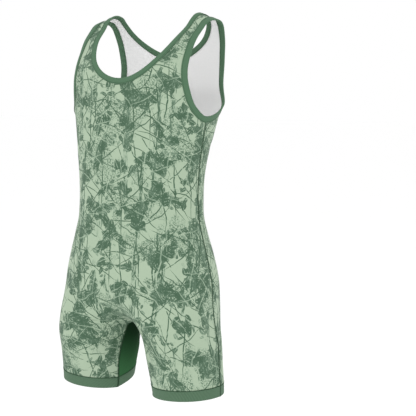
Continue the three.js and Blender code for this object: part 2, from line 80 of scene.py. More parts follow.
# %% Named sizes in millimetres
neck_half_width = 107
strap_tip_half_width = 145
neck_drop = {"front": 138, "back": 90}
neck_narrowing = {"front": 1, "back": 1.35}
armpit_level = -217
side_seam_y = -60
hem_level = {"front": -809, "side": -800, "back": -789}
hem_band_height = 23
neck_tape_width = 11
armhole_tape_width = 12
body_power = 2.35
leg_power = 2
mm = 0.001

strap_rows = 60
body_rows = 72
leg_rows = 32
panel_columns = 40
tape_columns = 3
gusset_columns = 20


def table(columns, rows):
    return {name: np.array([row[i] for row in rows], float) for i, name in enumerate(columns)}


# %% Cross sections of the shoulders and the chest
ridge_tilt = 0.37
section_columns = ["station", "level", "tilt", "half_width", "side_y", "centre_y"]
upper_sections = {
    "front": table(section_columns, [
        [-12, -4.5, 0.33, 172, 18, 21],
        [0, 0, ridge_tilt, 172, 0, 0],
        [12, -4, 0.33, 172, -18, -21],
        [24, -15, 0.2, 172, -33, -37],
        [36, -30, 0.03, 172, -34, -54],
        [60, -57, 0, 171, -42, -92],
        [84, -84, 0, 171, -38, -120],
        [109, -109, 0, 172, -40, -138],
        [135, -135, 0, 173.5, -43, -146],
        [162, -162, 0, 171, -47, -147],
        [190, -190, 0, 165, -57, -145],
        [204, -204, 0, 164, -60, -145.5],
        [217, -217, 0, 161.4, -60, -147],
        [260, -260, 0, 153, -60, -157],
    ]),
    "back": table(section_columns, [
        [-12, -4, 0.33, 172, -18, -21],
        [0, 0, ridge_tilt, 172, 0, 0],
        [12, -4.5, 0.33, 172, 18, 21],
        [24, -14, 0.2, 172, 26, 30],
        [36, -28, 0.04, 172, 25, 42],
        [60, -58, 0, 171, 24, 59],
        [84, -84, 0, 171, 23, 65],
        [109, -109, 0, 172, 15, 70],
        [135, -135, 0, 173.5, -3, 73],
        [162, -162, 0, 174, -22, 75],
        [190, -190, 0, 172, -46, 82],
        [204, -204, 0, 166.5, -57, 83],
        [217, -217, 0, 161.4, -60, 82.5],
        [260, -260, 0, 153, -60, 64.5],
    ]),
}
stations = upper_sections["front"]["station"]
print("stations from", stations[0], "to", stations[-1])

# %% Cross sections of the body and of one leg
body_sections = table(["level", "half_width", "front_y", "back_y"], [
    [-204, 165, -145.5, 83],
    [-217, 161.4, -147, 82.5],
    [-260, 153, -157, 64.5],
    [-300, 146, -165, 45],
    [-345, 141, -168, 30],
    [-390, 140, -168, 25],
    [-430, 142.5, -170, 22],
    [-470, 152, -173, 31],
    [-510, 163, -178, 42],
    [-560, 174, -183, 50],
    [-610, 177.5, -185, 54],
    [-660, 182, -185, 40],
    [-720, 188, -180, 28],
])
leg_sections = table(["level", "axis_x", "half_width", "front_y", "back_y", "rounding", "splay"], [
    [-540, 86, 91, -183, 48, 40, 0.05],
    [-620, 94, 86, -180, 50, 26, 0.07],
    [-660, 100.5, 84, -174, 32, 13, 0.08],
    [-690, 107, 83.5, -166, 19, 9, 0.075],
    [-730, 110.5, 82.5, -153, 15, 8, 0.06],
    [-775, 115.5, 80.5, -141, 11, 8, 0.04],
    [-803, 118, 78.5, -136, 10, 8, 0.035],
])
fork_top, fork_bottom = -565, -682
body_scale, leg_scale = 60, 80

# %% The gusset seams and the foot of the side seam
seam_columns = ["row", "level", "seam_x", "axis_x"]
gusset_seam = {
    "front": table(seam_columns, [
        [0, -659, 0, 0],
        [1, -662, 13, 26],
        [2, -672, 21.5, 52],
        [3, -689, 27.5, 78],
        [4, -710, 32, 97],
        [5, -732, 36, 107],
        [6, -756, 40, 111],
        [7, hem_level["front"] + hem_band_height, 43.5, 114],
        [8, hem_level["front"], 46.5, 116],
    ]),
    "back": table(seam_columns, [
        [0, -656, 0, 0],
        [1, -661, 11, 26],
        [2, -674, 17, 52],
        [3, -691, 23, 78],
        [4, -711, 29, 97],
        [5, -727, 36, 107],
        [6, -744, 42, 111],
        [7, hem_level["back"] + hem_band_height, 47, 114],
        [8, hem_level["back"], 50, 116],
    ]),
}
side_seam_leg_levels = table(["row", "level"], [
    [0, -640],
    [2, -678],
    [4, -714],
    [6, -750],
    [7, hem_level["side"] + hem_band_height],
    [8, hem_level["side"]],
])
seam_table_rows = 8
print("hem band from", hem_level["side"], "to", hem_level["side"] + hem_band_height, "at the side")

# %% [markdown]
# ## Reading the tables
# Straight lines between the rows of a table would give a faceted suit. We join them by cubic
# pieces, whose slopes come from the neighbouring rows, so that the cloth runs smoothly.

# %% A smooth value from a table


def sample(rows, key, value, column):
    places, heights = rows[key], rows[column]
    value = np.asarray(value, float)
    if places[1] < places[0]:
        places, value = -places, -value
    slopes = np.empty_like(heights)
    slopes[1:-1] = (heights[2:] - heights[:-2]) / (places[2:] - places[:-2])
    slopes[0] = (heights[1] - heights[0]) / (places[1] - places[0])
    slopes[-1] = (heights[-1] - heights[-2]) / (places[-1] - places[-2])
    i = np.clip(np.searchsorted(places, value, side="left") - 1, 0, len(places) - 2)
    span = places[i + 1] - places[i]
    t = np.clip((value - places[i]) / span, 0, 1)
    t2, t3 = t * t, t * t * t
    start = (2 * t3 - 3 * t2 + 1) * heights[i] + (t3 - 2 * t2 + t) * span * slopes[i]
    end = (3 * t2 - 2 * t3) * heights[i + 1] + (t3 - t2) * span * slopes[i + 1]
    return start + end


def mix(a, b, t):
    return a + (b - a) * t


def smooth(t):
    c = np.clip(t, 0, 1)
    return c * c * (3 - 2 * c)


def power_norm(a, b, power):
    return (np.abs(a) ** power + np.abs(b) ** power) ** (1 / power)


def unit(vectors):
    return vectors / np.linalg.norm(vectors, axis=-1, keepdims=True)


print("waist half width", float(sample(body_sections, "level", -400, "half_width")))

# %% [markdown]
# ## The surface of the worn cloth
# Above the armpits the cloth is a shell that is given by an angle from the centre line and a
# station. Below them a body and two legs melt into each other, which is easiest as a field that
# is below zero inside and above zero outside. A ray from inside finds where the field is zero.

# %% Points above the armpits


def upper_point(side, angle, station):
    tilt, level, half_width, side_y, centre_y = [
        sample(upper_sections[side], "station", station, column)
        for column in ("tilt", "level", "half_width", "side_y", "centre_y")
    ]
    sine, cosine = np.sin(np.radians(angle)), np.cos(np.radians(angle))
    radius = 1 / power_norm(sine, cosine, body_power)
    x = half_width * radius * sine
    y = mix(side_y, centre_y, radius * cosine)
    z = level - tilt * (np.abs(x) - neck_half_width)
    return np.stack(np.broadcast_arrays(x, y, z), axis=-1)


def upper_place(side, x, z):
    rows = upper_sections[side]
    low, high = np.zeros_like(x), np.full_like(x, -armpit_level)
    for step in range(40):
        middle = (low + high) / 2
        tilt = sample(rows, "station", middle, "tilt")
        above = sample(rows, "station", middle, "level") - tilt * (x - neck_half_width) > z
        low, high = np.where(above, middle, low), np.where(above, high, middle)
    ratio = np.minimum(0.9999, x / sample(rows, "station", low, "half_width"))
    across = (1 - ratio ** body_power) ** (1 / body_power)
    return np.stack([np.degrees(np.arctan2(ratio, across)), low], axis=-1)


print("top of the chest", upper_point("front", 0, 138.0))

# %% The field of the body and the legs


def figure_field(points):
    x, y, z = points[..., 0], points[..., 1], points[..., 2]
    behind = y - side_seam_y

    def size(rows, column):
        return sample(rows, "level", z, column)

    def ratio(rows, away, power):
        front, back = side_seam_y - size(rows, "front_y"), size(rows, "back_y") - side_seam_y
        depth = np.where(behind < 0, front, back)
        return power_norm(away / size(rows, "half_width"), behind / depth, power) - 1

    body = ratio(body_sections, x, body_power) * body_scale
    rounded_x = np.hypot(x, size(leg_sections, "rounding"))
    away = rounded_x - size(leg_sections, "axis_x") + size(leg_sections, "splay") * behind
    leg = ratio(leg_sections, away, leg_power) * leg_scale
    forked = smooth((fork_top - z) / (fork_top - fork_bottom))
    return np.where(z > fork_top, body, mix(body, leg, forked))


def field_normal(points):
    step = 0.5
    axes = np.eye(3) * step
    slope = [figure_field(points + axis) - figure_field(points - axis) for axis in axes]
    return unit(np.stack(slope, axis=-1))


def cast_ray(origin, direction):
    stride, limit = 6.0, 600.0
    reach = np.full(direction.shape[:-1], stride)
    inside = reach > 0
    while inside.any():
        inside = (figure_field(origin + direction * reach[..., None]) <= 0) & (reach < limit)
        reach = reach + stride * inside
    low, high = reach - stride, reach
    for step in range(24):
        middle = (low + high) / 2
        outside = figure_field(origin + direction * middle[..., None]) > 0
        low, high = np.where(outside, low, middle), np.where(outside, middle, high)
    return origin + direction * low[..., None]


# %% Points below the armpits
fork_spread = 105
angle_step, station_step = 0.2, 0.4
ridge_lean, ridge_up = 0.347, 0.938


def lower_point(side, axis_x, angle, level):
    axis_x, angle, level = np.broadcast_arrays(*[np.asarray(v, float) for v in (axis_x, angle, level)])
    edge, forward = ("front_y", -1) if side == "front" else ("back_y", 1)

    def ratio_of(rows):
        depth = np.abs(sample(rows, "level", level, edge) - side_seam_y)
        return sample(rows, "level", level, "half_width") / depth

    ratio = mix(ratio_of(body_sections), ratio_of(leg_sections), smooth(axis_x / fork_spread))
    sine, cosine = np.sin(np.radians(angle)), np.cos(np.radians(angle))
    direction = np.stack([ratio * sine, forward * cosine, np.zeros_like(sine)], axis=-1)
    origin = np.stack([axis_x, np.full_like(level, side_seam_y), level], axis=-1)
    return cast_ray(origin, unit(direction))


def body_point(side, angle, station):
    angle, station = np.broadcast_arrays(np.asarray(angle, float), np.asarray(station, float))
    points = upper_point(side, angle, np.minimum(station, -armpit_level))
    below = station >= -armpit_level
    if below.any():
        points[below] = lower_point(side, 0, angle[below], -station[below])
    return points


def body_normal(side, angle, station):
    angle, station = np.broadcast_arrays(np.asarray(angle, float), np.asarray(station, float))
    upper = np.minimum(station, -armpit_level)
    around = [upper_point(side, angle + step, upper) for step in (angle_step, -angle_step)]
    down = [upper_point(side, angle, upper + step) for step in (station_step, -station_step)]
    outwards = -1 if side == "front" else 1
    normals = unit(np.cross(around[0] - around[1], down[0] - down[1])) * outwards
    on_ridge = station < 0.5
    sign = np.sign(angle[on_ridge])
    normals[on_ridge] = np.stack([ridge_lean * sign, 0 * sign, ridge_up + 0 * sign], axis=-1)
    below = station > -armpit_level - 1
    if below.any():
        lowered = np.maximum(station[below], -armpit_level)
        normals[below] = field_normal(body_point(side, angle[below], lowered))
    return normals


print("side of the waist", lower_point("front", 0, 90, -400.0))

# %% [markdown]
# ## The cut edges
# The neckline is a quarter of an ellipse on each side. The armhole runs down from the strap tip
# and turns in under the arm. We measure along the cloth, and set out places at even distances,
# as a pattern cutter walks a tape measure along an edge.

# %% Lengths along the cloth


def distances(points, axis):
    return np.linalg.norm(np.diff(points, axis=axis), axis=-1)


def running(steps, axis=0):
    nought = np.zeros_like(np.take(steps, [0], axis=axis))
    return np.concatenate([nought, np.cumsum(steps, axis=axis)], axis=axis)


def read_at(places, reach, values):
    return np.stack([np.interp(places, reach, column) for column in values.T], axis=-1)


print("three equal steps add up to", running(np.ones(3)))

# %% Neckline and armholes
armhole_angle = {"front": 51.5, "back": 47}
armhole_turn_level = {"front": -120, "back": -140}
neck_spacing = 1.6


def neck_place(side, t):
    turn = math.pi / 2 * t ** neck_spacing
    x = neck_half_width * np.cos(turn) ** neck_narrowing[side]
    return upper_place(side, x, -neck_drop[side] * np.sin(turn))


def armhole_place(side, t):
    tip_level = -ridge_tilt * (strap_tip_half_width - neck_half_width) - 0.01
    tip = upper_place(side, np.array([float(strap_tip_half_width)]), tip_level)[0, 0]
    turn_station = -armhole_turn_level[side]
    down = np.clip(t / 0.5, 0, 1)
    turn = np.clip((t - 0.5) / 0.5, 0, 1) * math.pi / 2
    straight = np.stack([mix(tip, armhole_angle[side], smooth(down)), turn_station * down], axis=-1)
    angle = 90 - (90 - armhole_angle[side]) * np.cos(turn)
    curved = np.stack([angle, mix(turn_station, -armpit_level, np.sin(turn))], axis=-1)
    return np.where((t < 0.5)[:, None], straight, curved)


def even_places(side, edge, count):
    places = edge(side, np.linspace(0, 1, 801))
    points = upper_point(side, places[:, 0], places[:, 1])
    reach = running(distances(points, 0))
    return read_at(np.linspace(0, reach[-1], count + 1), reach, places)


neck_edge = {side: even_places(side, neck_place, strap_rows) for side in ("front", "back")}
armhole_edge = {side: even_places(side, armhole_place, strap_rows) for side in ("front", "back")}
print("lowest neckline stations", neck_edge["front"][-1, 1], neck_edge["back"][-1, 1])

# %% [markdown]
# ## The grid of a panel
# A panel is a grid of points that flows as the cloth does: across the strap at the top, across
# the chest and the belly, then across one leg. A grid that follows the edges keeps them clean,
# where a grid cut through by the edges would leave steps. Each row leaves its edges squarely.

# %% Rows across a strap
angle_to_length = 2.6
row_fullness = 0.8
corner_from_neck = np.array([0.2, 0.98])
corner_from_armhole = np.array([-0.4, 0.92])
corner_sharpness = 3


def strap_curves(side):
    scale = np.array([angle_to_length, 1])
    neck, armhole = neck_edge[side] * scale, armhole_edge[side] * scale

    def along(edge):
        before = np.concatenate([edge[:1], edge[:-1]])
        after = np.concatenate([edge[1:], edge[-1:]])
        return unit(after - before)

    corner = ((np.arange(strap_rows + 1) / strap_rows) ** corner_sharpness)[:, None]
    neck_along, armhole_along = along(neck), along(armhole)
    neck_square = np.stack([neck_along[:, 1], -neck_along[:, 0]], axis=-1)
    armhole_square = np.stack([-armhole_along[:, 1], armhole_along[:, 0]], axis=-1)
    from_neck = unit(mix(neck_square, corner_from_neck, corner))
    from_armhole = unit(mix(armhole_square, corner_from_armhole, corner))
    reach = np.linalg.norm(armhole - neck, axis=1)[:, None] * row_fullness

    def plane(rows, t):
        t = t[..., None]
        t2, t3 = t * t, t * t * t
        pick = [v[rows][:, None] for v in (neck, from_neck * reach, armhole, from_armhole * reach)]
        first = (2 * t3 - 3 * t2 + 1) * pick[0] + (t3 - 2 * t2 + t) * pick[1]
        return first + (3 * t2 - 2 * t3) * pick[2] + (t2 - t3) * pick[3]

    return plane


# %% Even columns in every row


def row_shares(lengths):
    first, last = neck_tape_width / lengths, 1 - armhole_tape_width / lengths
    inner = np.linspace(0, 1, panel_columns - 2 * tape_columns + 1)
    edge = np.linspace(0, 1, tape_columns + 1)[:-1]
    start = first[:, None] * edge
    middle = mix(first[:, None], last[:, None], inner)
    end = mix(last[:, None], 1, np.linspace(0, 1, tape_columns + 1)[1:])
    return np.concatenate([start, middle, end], axis=1)


def spread_columns(curve, count):
    fine = np.linspace(0, 1, 61)
    reach = running(distances(curve(np.tile(fine, (count, 1)))[0], 1), 1)
    targets = row_shares(reach[:, -1]) * reach[:, -1:]
    t = np.stack([np.interp(targets[i], reach[i], fine) for i in range(count)])
    return curve(t)


# %% The rows of half a panel
dip_rows = 8
coarse_body_rows = 18
widest_inward_angle = -80.0


def half_panel(side):
    strap_plane = strap_curves(side)

    def placed(places):
        angle, station = places[..., 0] / angle_to_length, places[..., 1]
        return body_point(side, angle, station), body_normal(side, angle, station)

    all_rows = np.arange(strap_rows + 1)
    strap = spread_columns(lambda t: placed(strap_plane(all_rows, t)), strap_rows + 1)

    q = np.concatenate([
        np.linspace(0, 1, tape_columns + 1)[1:],
        np.linspace(1, coarse_body_rows, body_rows - tape_columns + 1)[1:],
    ])[:, None]
    seam = gusset_seam[side]
    neck_bottom = neck_edge[side][-1, 1]
    down = np.clip((q - 1) / (coarse_body_rows - 1), 0, 1)
    under_neck, under_arm = neck_bottom + neck_tape_width, armhole_tape_width - armpit_level
    start = np.where(q < 1, mix(neck_bottom, under_neck, q), mix(under_neck, -seam["level"][0], down))
    side_level = side_seam_leg_levels["level"][0]
    end = np.where(q < 1, mix(-armpit_level, under_arm, q), mix(under_arm, -side_level, down))
    corners = strap_plane(all_rows[-1:], np.array([[0.0, 1.0]]))[0]

    def body_curve(t):
        dip = strap_plane(np.full(body_rows, strap_rows), t) - mix(corners[0], corners[1], t[..., None])
        line = np.stack([t * 90 * angle_to_length, mix(start, end, t)], axis=-1)
        return placed(line + dip * (1 - smooth(q / dip_rows))[..., None])

    body = spread_columns(body_curve, body_rows)

    q = np.linspace(0, seam_table_rows, leg_rows + 1)[1:]
    level, seam_x, axis_x = [sample(seam, "row", q, name) for name in ("level", "seam_x", "axis_x")]
    foot = sample(side_seam_leg_levels, "row", q, "level")
    low, high = np.full(leg_rows, widest_inward_angle), np.zeros(leg_rows)
    for step in range(24):
        middle = (low + high) / 2
        short = lower_point(side, axis_x, middle, level)[:, 0] < seam_x
        low, high = np.where(short, middle, low), np.where(short, high, middle)

    def leg_curve(t):
        angle = mix(low[:, None], 90, t)
        points = lower_point(side, axis_x[:, None], angle, mix(level[:, None], foot[:, None], smooth(t)))
        return points, field_normal(points)

    leg = spread_columns(leg_curve, leg_rows)
    return [np.concatenate([strap[k], body[k], leg[k]]) for k in (0, 1)]


half = {side: half_panel(side) for side in ("front", "back")}
arch_row = strap_rows + body_rows
band_row = arch_row + leg_rows * (seam_table_rows - 1) // seam_table_rows
print("rows and columns of half a panel:", half["front"][0].shape[:2])

# %% [markdown]
# ## The gusset
# The gusset closes the fork between the legs and runs down the inside of each leg to the hem.
# We fan rays out from a line above it, from the front seam to the back seam.

# %% The rows of half the gusset
arch_lift, arch_rows_lifted = 61, 6


def half_gusset():
    q = np.linspace(0, seam_table_rows, leg_rows + 1)
    start, end = half["front"][0][arch_row:, 0], half["back"][0][arch_row:, 0]
    lift = arch_lift * np.maximum(0, 1 - q / arch_rows_lifted) ** 2
    axis_x = sample(gusset_seam["front"], "row", q, "axis_x")
    level = sample(gusset_seam["front"], "row", q, "level") + lift
    origin = np.stack([axis_x, np.full_like(q, side_seam_y), level], axis=-1)
    to_start, to_end = unit(start - origin), unit(end - origin)
    turn = np.arccos(np.sum(to_start * to_end, axis=1))[:, None, None]
    t = np.linspace(0, 1, gusset_columns + 1)[None, :, None]
    fan = np.sin((1 - t) * turn) * to_start[:, None] + np.sin(t * turn) * to_end[:, None]
    points = cast_ray(origin[:, None], unit(fan))
    points[:, 0], points[:, -1] = start, end
    return points, field_normal(points)


gusset = half_gusset()
print("rows and columns of half the gusset:", gusset[0].shape[:2])

# %% [markdown]
# ## The flat cut
# A printed cloth is printed flat and then cut and worn, so its pattern has to follow the cloth
# and not the room. We lay each grid out flat: u is the distance across from the centre line and
# v the distance down from the shoulder seam, both in metres.

# %% Lay a grid out flat
spring_share = 0.12
spring_rounds = 1200


def steps_across(points):
    return np.hypot(*np.moveaxis(np.diff(points[..., :2], axis=1), -1, 0))


def flat_cut(points, start_across):
    u = start_across[:, None] + running(steps_across(points), 1)
    drop = np.sqrt(np.maximum(distances(points, 0) ** 2 - np.diff(u, axis=0) ** 2, 0))
    return np.stack([u, -running(drop)], axis=-1) * mm


def eased(points, flat, centre):
    """Springs between neighbours pull the flat grid to the distances on the worn cloth."""
    flat = flat.copy()
    here, there, everywhere = slice(None, -1), slice(1, None), slice(None)
    springs = [((here, everywhere), (there, everywhere)), ((everywhere, here), (everywhere, there))]
    springs += [((here, here), (there, there)), ((here, there), (there, here))]
    lengths = [np.linalg.norm(points[b] - points[a], axis=-1) * mm for a, b in springs]
    for turn in range(spring_rounds):
        pull = np.zeros_like(flat)
        for (a, b), length in zip(springs, lengths):
            gap = flat[b] - flat[a]
            now = np.maximum(np.linalg.norm(gap, axis=-1), 1e-6)
            push = gap * ((now - length) / now)[..., None] * spring_share
            pull[a] += push
            pull[b] -= push
        flat += pull
        flat[centre, 0, 0] = 0
    return flat


def panel_cut(side):
    points = half[side][0]
    t = np.linspace(0, 1, 41)
    angle, station = neck_edge[side][:, 0][:, None] * t, neck_edge[side][:, 1][:, None]
    strap_start = np.sum(steps_across(upper_point(side, angle, station)), axis=1)
    below = np.zeros(len(points) - strap_rows - 1)
    below[body_rows:] = points[arch_row + 1:, 0, 0]
    first = flat_cut(points, np.concatenate([strap_start, below]))
    return eased(points, first, slice(strap_rows, arch_row + 1))


cut = {side: panel_cut(side) for side in half}
for side in cut:
    width, length = 2 * cut[side][..., 0].max(), -cut[side][..., 1].min()
    print(side, "panel lies flat in %.3f by %.3f m, as worn" % (width, length))

# %% [markdown]
# ## Soft creases
# A suit of stretch cloth hangs almost smooth on a body. What is left are a few shallow creases:
# where the legs meet the body, under the arms, at the waist and over the seat. Each one is a
# trough or a ridge, with its own place on the flat cut, turn, length, width and
# height in millimetres. They die out before the edges, so that the seams and tapes stay even.

# %% Creases laid one by one
crease_bow = 0.35
crease_columns = ["across", "down", "turn", "length", "width", "height"]
creases = {
    "front": table(crease_columns, [
        [-24, 742, 62, 62, 8, -1.3],
        [-41, 719, 38, 78, 9, 0.9],
        [-22, 716, 78, 44, 6, -0.7],
        [27, 736, -58, 70, 8, -1.2],
        [49, 716, -33, 86, 10, 0.9],
        [13, 703, -84, 50, 6, -0.7],
        [-86, 668, 20, 92, 13, -0.9],
        [97, 652, -16, 104, 14, -0.8],
        [-176, 322, 24, 58, 9, -0.9],
        [-158, 346, 31, 44, 7, 0.5],
        [181, 330, -27, 64, 10, -0.9],
        [150, 363, -20, 40, 7, 0.5],
        [-120, 497, 7, 96, 15, -0.7],
        [142, 474, -9, 84, 13, -0.8],
        [104, 517, 5, 70, 11, 0.5],
        [-40, 243, 12, 60, 12, -0.5],
        [62, 262, -15, 72, 13, -0.6],
    ]),
    "back": table(crease_columns, [
        [-21, 701, 66, 66, 8, -1.3],
        [-44, 684, 42, 74, 9, 0.8],
        [29, 697, -60, 60, 8, -1.2],
        [52, 672, -37, 80, 10, 0.8],
        [-98, 676, 14, 104, 13, -1.2],
        [108, 684, -11, 96, 13, -1.1],
        [-6, 452, 3, 128, 14, -1.1],
        [-34, 478, -6, 96, 12, 0.7],
        [38, 424, 7, 110, 13, -0.9],
        [-148, 318, 28, 60, 9, -0.9],
        [160, 306, -25, 66, 9, -0.9],
        [-121, 86, 4, 26, 4, -0.6],
        [-124, 101, -7, 22, 4, -0.5],
        [122, 79, -5, 27, 4, -0.6],
        [126, 96, 6, 24, 4, -0.5],
        [129, 113, -3, 20, 4, 0.4],
        [0, 236, 2, 92, 15, -0.6],
        [-60, 566, 21, 84, 14, -0.7],
        [72, 548, -18, 92, 15, -0.7],
    ]),
}


def crease_height(side, across, down):
    rows, total = creases[side], np.zeros_like(across)
    for i in range(len(rows["turn"])):
        x, y, turn = across - rows["across"][i], down - rows["down"][i], math.radians(rows["turn"][i])
        along = (x * math.cos(turn) + y * math.sin(turn)) / (rows["length"][i] / 2)
        aside = (y * math.cos(turn) - x * math.sin(turn)) / rows["width"][i]
        bowed = aside - crease_bow * along ** 2
        total = total + rows["height"][i] * np.exp(-bowed ** 2 - along ** 4)
    return total


print(sum(len(rows["turn"]) for rows in creases.values()), "creases")

# %% The two halves of a panel with their creases
fade_rows, fade_columns = 6, 7


def other_half(points):
    return points * np.array([-1, 1, 1])


def edge_fade(row_count):
    columns = np.arange(panel_columns + 1)
    inner = smooth((columns - tape_columns) / fade_columns)
    outer = smooth((panel_columns - columns) / fade_columns)
    rows = np.arange(row_count)[:, None]
    neck_side = np.where((rows > strap_rows + fade_rows) & (rows < arch_row - fade_rows), 1, inner)
    return neck_side * outer * smooth(rows / fade_rows) * smooth((row_count - 1 - rows) / fade_rows)


def creased_halves(side):
    points, normals = [grid[: band_row + 1] for grid in half[side]]
    fade = edge_fade(len(points))
    across, down = [cut[side][: band_row + 1, :, k] / mm for k in (0, 1)]

    def lifts(way):
        return (crease_height(side, way * across, -down) * fade)[..., None]

    return points + normals * lifts(1), other_half(points) + other_half(normals) * lifts(-1)


change = np.abs(creased_halves("back")[0] - half["back"][0][: band_row + 1]).max()
print("largest change %.2f mm" % change)

# %% [markdown]
# ## From grids to cloth
# Cloth is thin and has two faces. We make the outer face from the grid, join the two halves on
# the centre line, and let Solidify give the wall, with the inner face on a second material slot.

# %% Seams and walls
seam_draw = 0.06
cloth_wall = 0.001


def drawn_back(points, start_from, end_from, ends=True):
    points = points.copy()
    if ends:
        points[0] += unit(points[1] - points[0]) * seam_draw
        points[-1] += unit(points[-2] - points[-1]) * seam_draw
    points[start_from:, 0] += unit(points[start_from:, 1] - points[start_from:, 0]) * seam_draw
    points[end_from:, -1] += unit(points[end_from:, -2] - points[end_from:, -1]) * seam_draw
    return points


def grid_faces(rows, columns, first, reversed_way):
    r, c = np.meshgrid(np.arange(rows - 1), np.arange(columns - 1), indexing="ij")
    a = first + r * columns + c
    faces = np.stack([a, a + columns, a + columns + 1, a + 1], axis=-1).reshape(-1, 4)
    return faces[:, ::-1] if reversed_way else faces


def cloth_mesh(name, grids, shift=(0, 0)):
    points, maps, faces, first = [], [], [], 0
    for grid, flat, reversed_way in grids:
        points.append(grid.reshape(-1, 3) * mm)
        maps.append(flat.reshape(-1, 2) + np.array(shift))
        faces.append(grid_faces(*grid.shape[:2], first, reversed_way))
        first += grid.shape[0] * grid.shape[1]
    mesh = bpy.data.meshes.new(name)
    mesh.from_pydata(np.concatenate(points).tolist(), [], np.concatenate(faces).tolist())
    layer = mesh.uv_layers.new(name="cut")
    corners = np.array([loop.vertex_index for loop in mesh.loops])
    layer.data.foreach_set("uv", np.concatenate(maps)[corners].ravel())
    piece = bpy.data.objects.new(name, mesh)
    bpy.context.collection.objects.link(piece)
    return piece


def pick(piece):
    bpy.ops.object.select_all(action="DESELECT")
    bpy.context.view_layer.objects.active = piece
    piece.select_set(True)


def edit_all(piece, operator, **settings):
    pick(piece)
    bpy.ops.object.mode_set(mode="EDIT")
    bpy.ops.mesh.select_all(action="SELECT")
    operator(**settings)
    bpy.ops.object.mode_set(mode="OBJECT")


def join_doubles(piece):
    edit_all(piece, bpy.ops.mesh.remove_doubles, threshold=1e-6)


def face_outwards(piece):
    edit_all(piece, bpy.ops.mesh.normals_make_consistent, inside=False)


def give_wall(piece, wall, inner_slot):
    pick(piece)
    thickness = piece.modifiers.new("wall", "SOLIDIFY")
    thickness.thickness, thickness.offset = wall, -1
    thickness.material_offset = inner_slot
    bpy.ops.object.modifier_apply(modifier="wall")


def finish_shape(piece, edge_angle=50):
    pick(piece)
    bpy.ops.object.shade_smooth_by_angle(angle=math.radians(edge_angle))
    print(piece.name, len(piece.data.polygons), "faces")


# %% [markdown]
# ## Colour and weave
# The cloth is printed all over in three greens, with clusters of oval leaves, long blades of reed
# and a mottle of lichen. Each motif is drawn in the cells of a Voronoi pattern on the flat cut,
# which scatters them at random but the same way each time. The helpers below keep a node tree as
# easy to read as a sum.

# %% Helpers for the finishes


def colour(red, green, blue):
    shares = np.array([red, green, blue]) / 255
    linear = np.where(shares > 0.04045, ((shares + 0.055) / 1.055) ** 2.4, shares / 12.92)
    return (*linear.tolist(), 1.0)


def add_node(tree, kind, settings=None, inputs=None):
    node = tree.nodes.new(kind)
    for name, value in (settings or {}).items():
        setattr(node, name, value)
    for name, value in (inputs or {}).items():
        if isinstance(value, bpy.types.NodeSocket):
            tree.links.new(value, node.inputs[name])
        else:
            node.inputs[name].default_value = value
    return node


def calc(tree, operation, a, b=0.0, c=0.0):
    return add_node(tree, "ShaderNodeMath", {"operation": operation}, {0: a, 1: b, 2: c}).outputs[0]


def vector_calc(tree, operation, a, b=(0, 0, 0)):
    return add_node(tree, "ShaderNodeVectorMath", {"operation": operation}, {0: a, 1: b}).outputs[0]


def soft_step(tree, value, low, high, to_low=0.0, to_high=1.0):
    settings = {"interpolation_type": "SMOOTHSTEP"}
    inputs = {"Value": value, "From Min": low, "From Max": high, "To Min": to_low, "To Max": to_high}
    return add_node(tree, "ShaderNodeMapRange", settings, inputs).outputs[0]


def times(tree, a, b):
    return calc(tree, "MULTIPLY", a, b)


def less(tree, a, b):
    return calc(tree, "SUBTRACT", a, b)


def turned_about_z(tree, vector, angle):
    settings, inputs = {"rotation_type": "Z_AXIS"}, {"Vector": vector, "Angle": angle}
    return add_node(tree, "ShaderNodeVectorRotate", settings, inputs).outputs[0]


def parts_of(tree, vector):
    return add_node(tree, "ShaderNodeSeparateXYZ", None, {"Vector": vector}).outputs


def blend_colours(tree, share, first, second):
    node = add_node(tree, "ShaderNodeMix", {"data_type": "RGBA"}, {0: share})
    for index, value in ((6, first), (7, second)):
        if isinstance(value, bpy.types.NodeSocket):
            tree.links.new(value, node.inputs[index])
        else:
            node.inputs[index].default_value = value
    return node.outputs[2]


def new_finish(name, roughness, sheen=0.0, base=None):
    finish = bpy.data.materials.new(name)
    finish.use_nodes = True
    shader = finish.node_tree.nodes["Principled BSDF"]
    shader.inputs["Roughness"].default_value = roughness
    shader.inputs["Specular IOR Level"].default_value = 0.25
    shader.inputs["Sheen Weight"].default_value = sheen
    shader.inputs["Sheen Roughness"].default_value = 0.4
    if base:
        shader.inputs["Base Color"].default_value = base
    return finish, finish.node_tree, shader


def noise(tree, place, scale, detail=2.0, rough=0.5):
    inputs = {"Vector": place, "Scale": scale, "Detail": detail, "Roughness": rough}
    return add_node(tree, "ShaderNodeTexNoise", {"noise_dimensions": "2D"}, inputs).outputs[0]


def flat_place(tree):
    return add_node(tree, "ShaderNodeUVMap", {"uv_map": "cut"}).outputs[0]


# %% [markdown]
# ## The motifs
# A leaf is two arcs that meet in points: inside it, the distance aside is less than a width that
# falls off with the square of the distance along. A blade of reed is the same shape, very long.
# Leaves grow only where a broad noise, read at the leaf's own centre, is high, so that whole
# leaves stand together in clusters.

# %% Leaves and blades


def motif_cells(tree, place, cell, turn, moved):
    mapping = add_node(tree, "ShaderNodeMapping", {"vector_type": "TEXTURE"}, {
        "Vector": place, "Location": moved, "Rotation": (0, 0, math.radians(turn)), "Scale": (*cell, 1),
    })
    settings = {"voronoi_dimensions": "2D", "feature": "F1"}
    inputs = {"Vector": mapping.outputs[0], "Scale": 1.0}
    cells = add_node(tree, "ShaderNodeTexVoronoi", settings, inputs)
    away = vector_calc(tree, "SUBTRACT", mapping.outputs[0], cells.outputs["Position"])
    dice = add_node(tree, "ShaderNodeSeparateColor", None, {"Color": cells.outputs["Color"]})
    return away, dice.outputs


def cluster_field(tree, place):
    return noise(tree, place, 25.0, 1.5, 0.45)


def arc_width(tree, along, width):
    return calc(tree, "MULTIPLY_ADD", times(tree, along, along), -width, width)


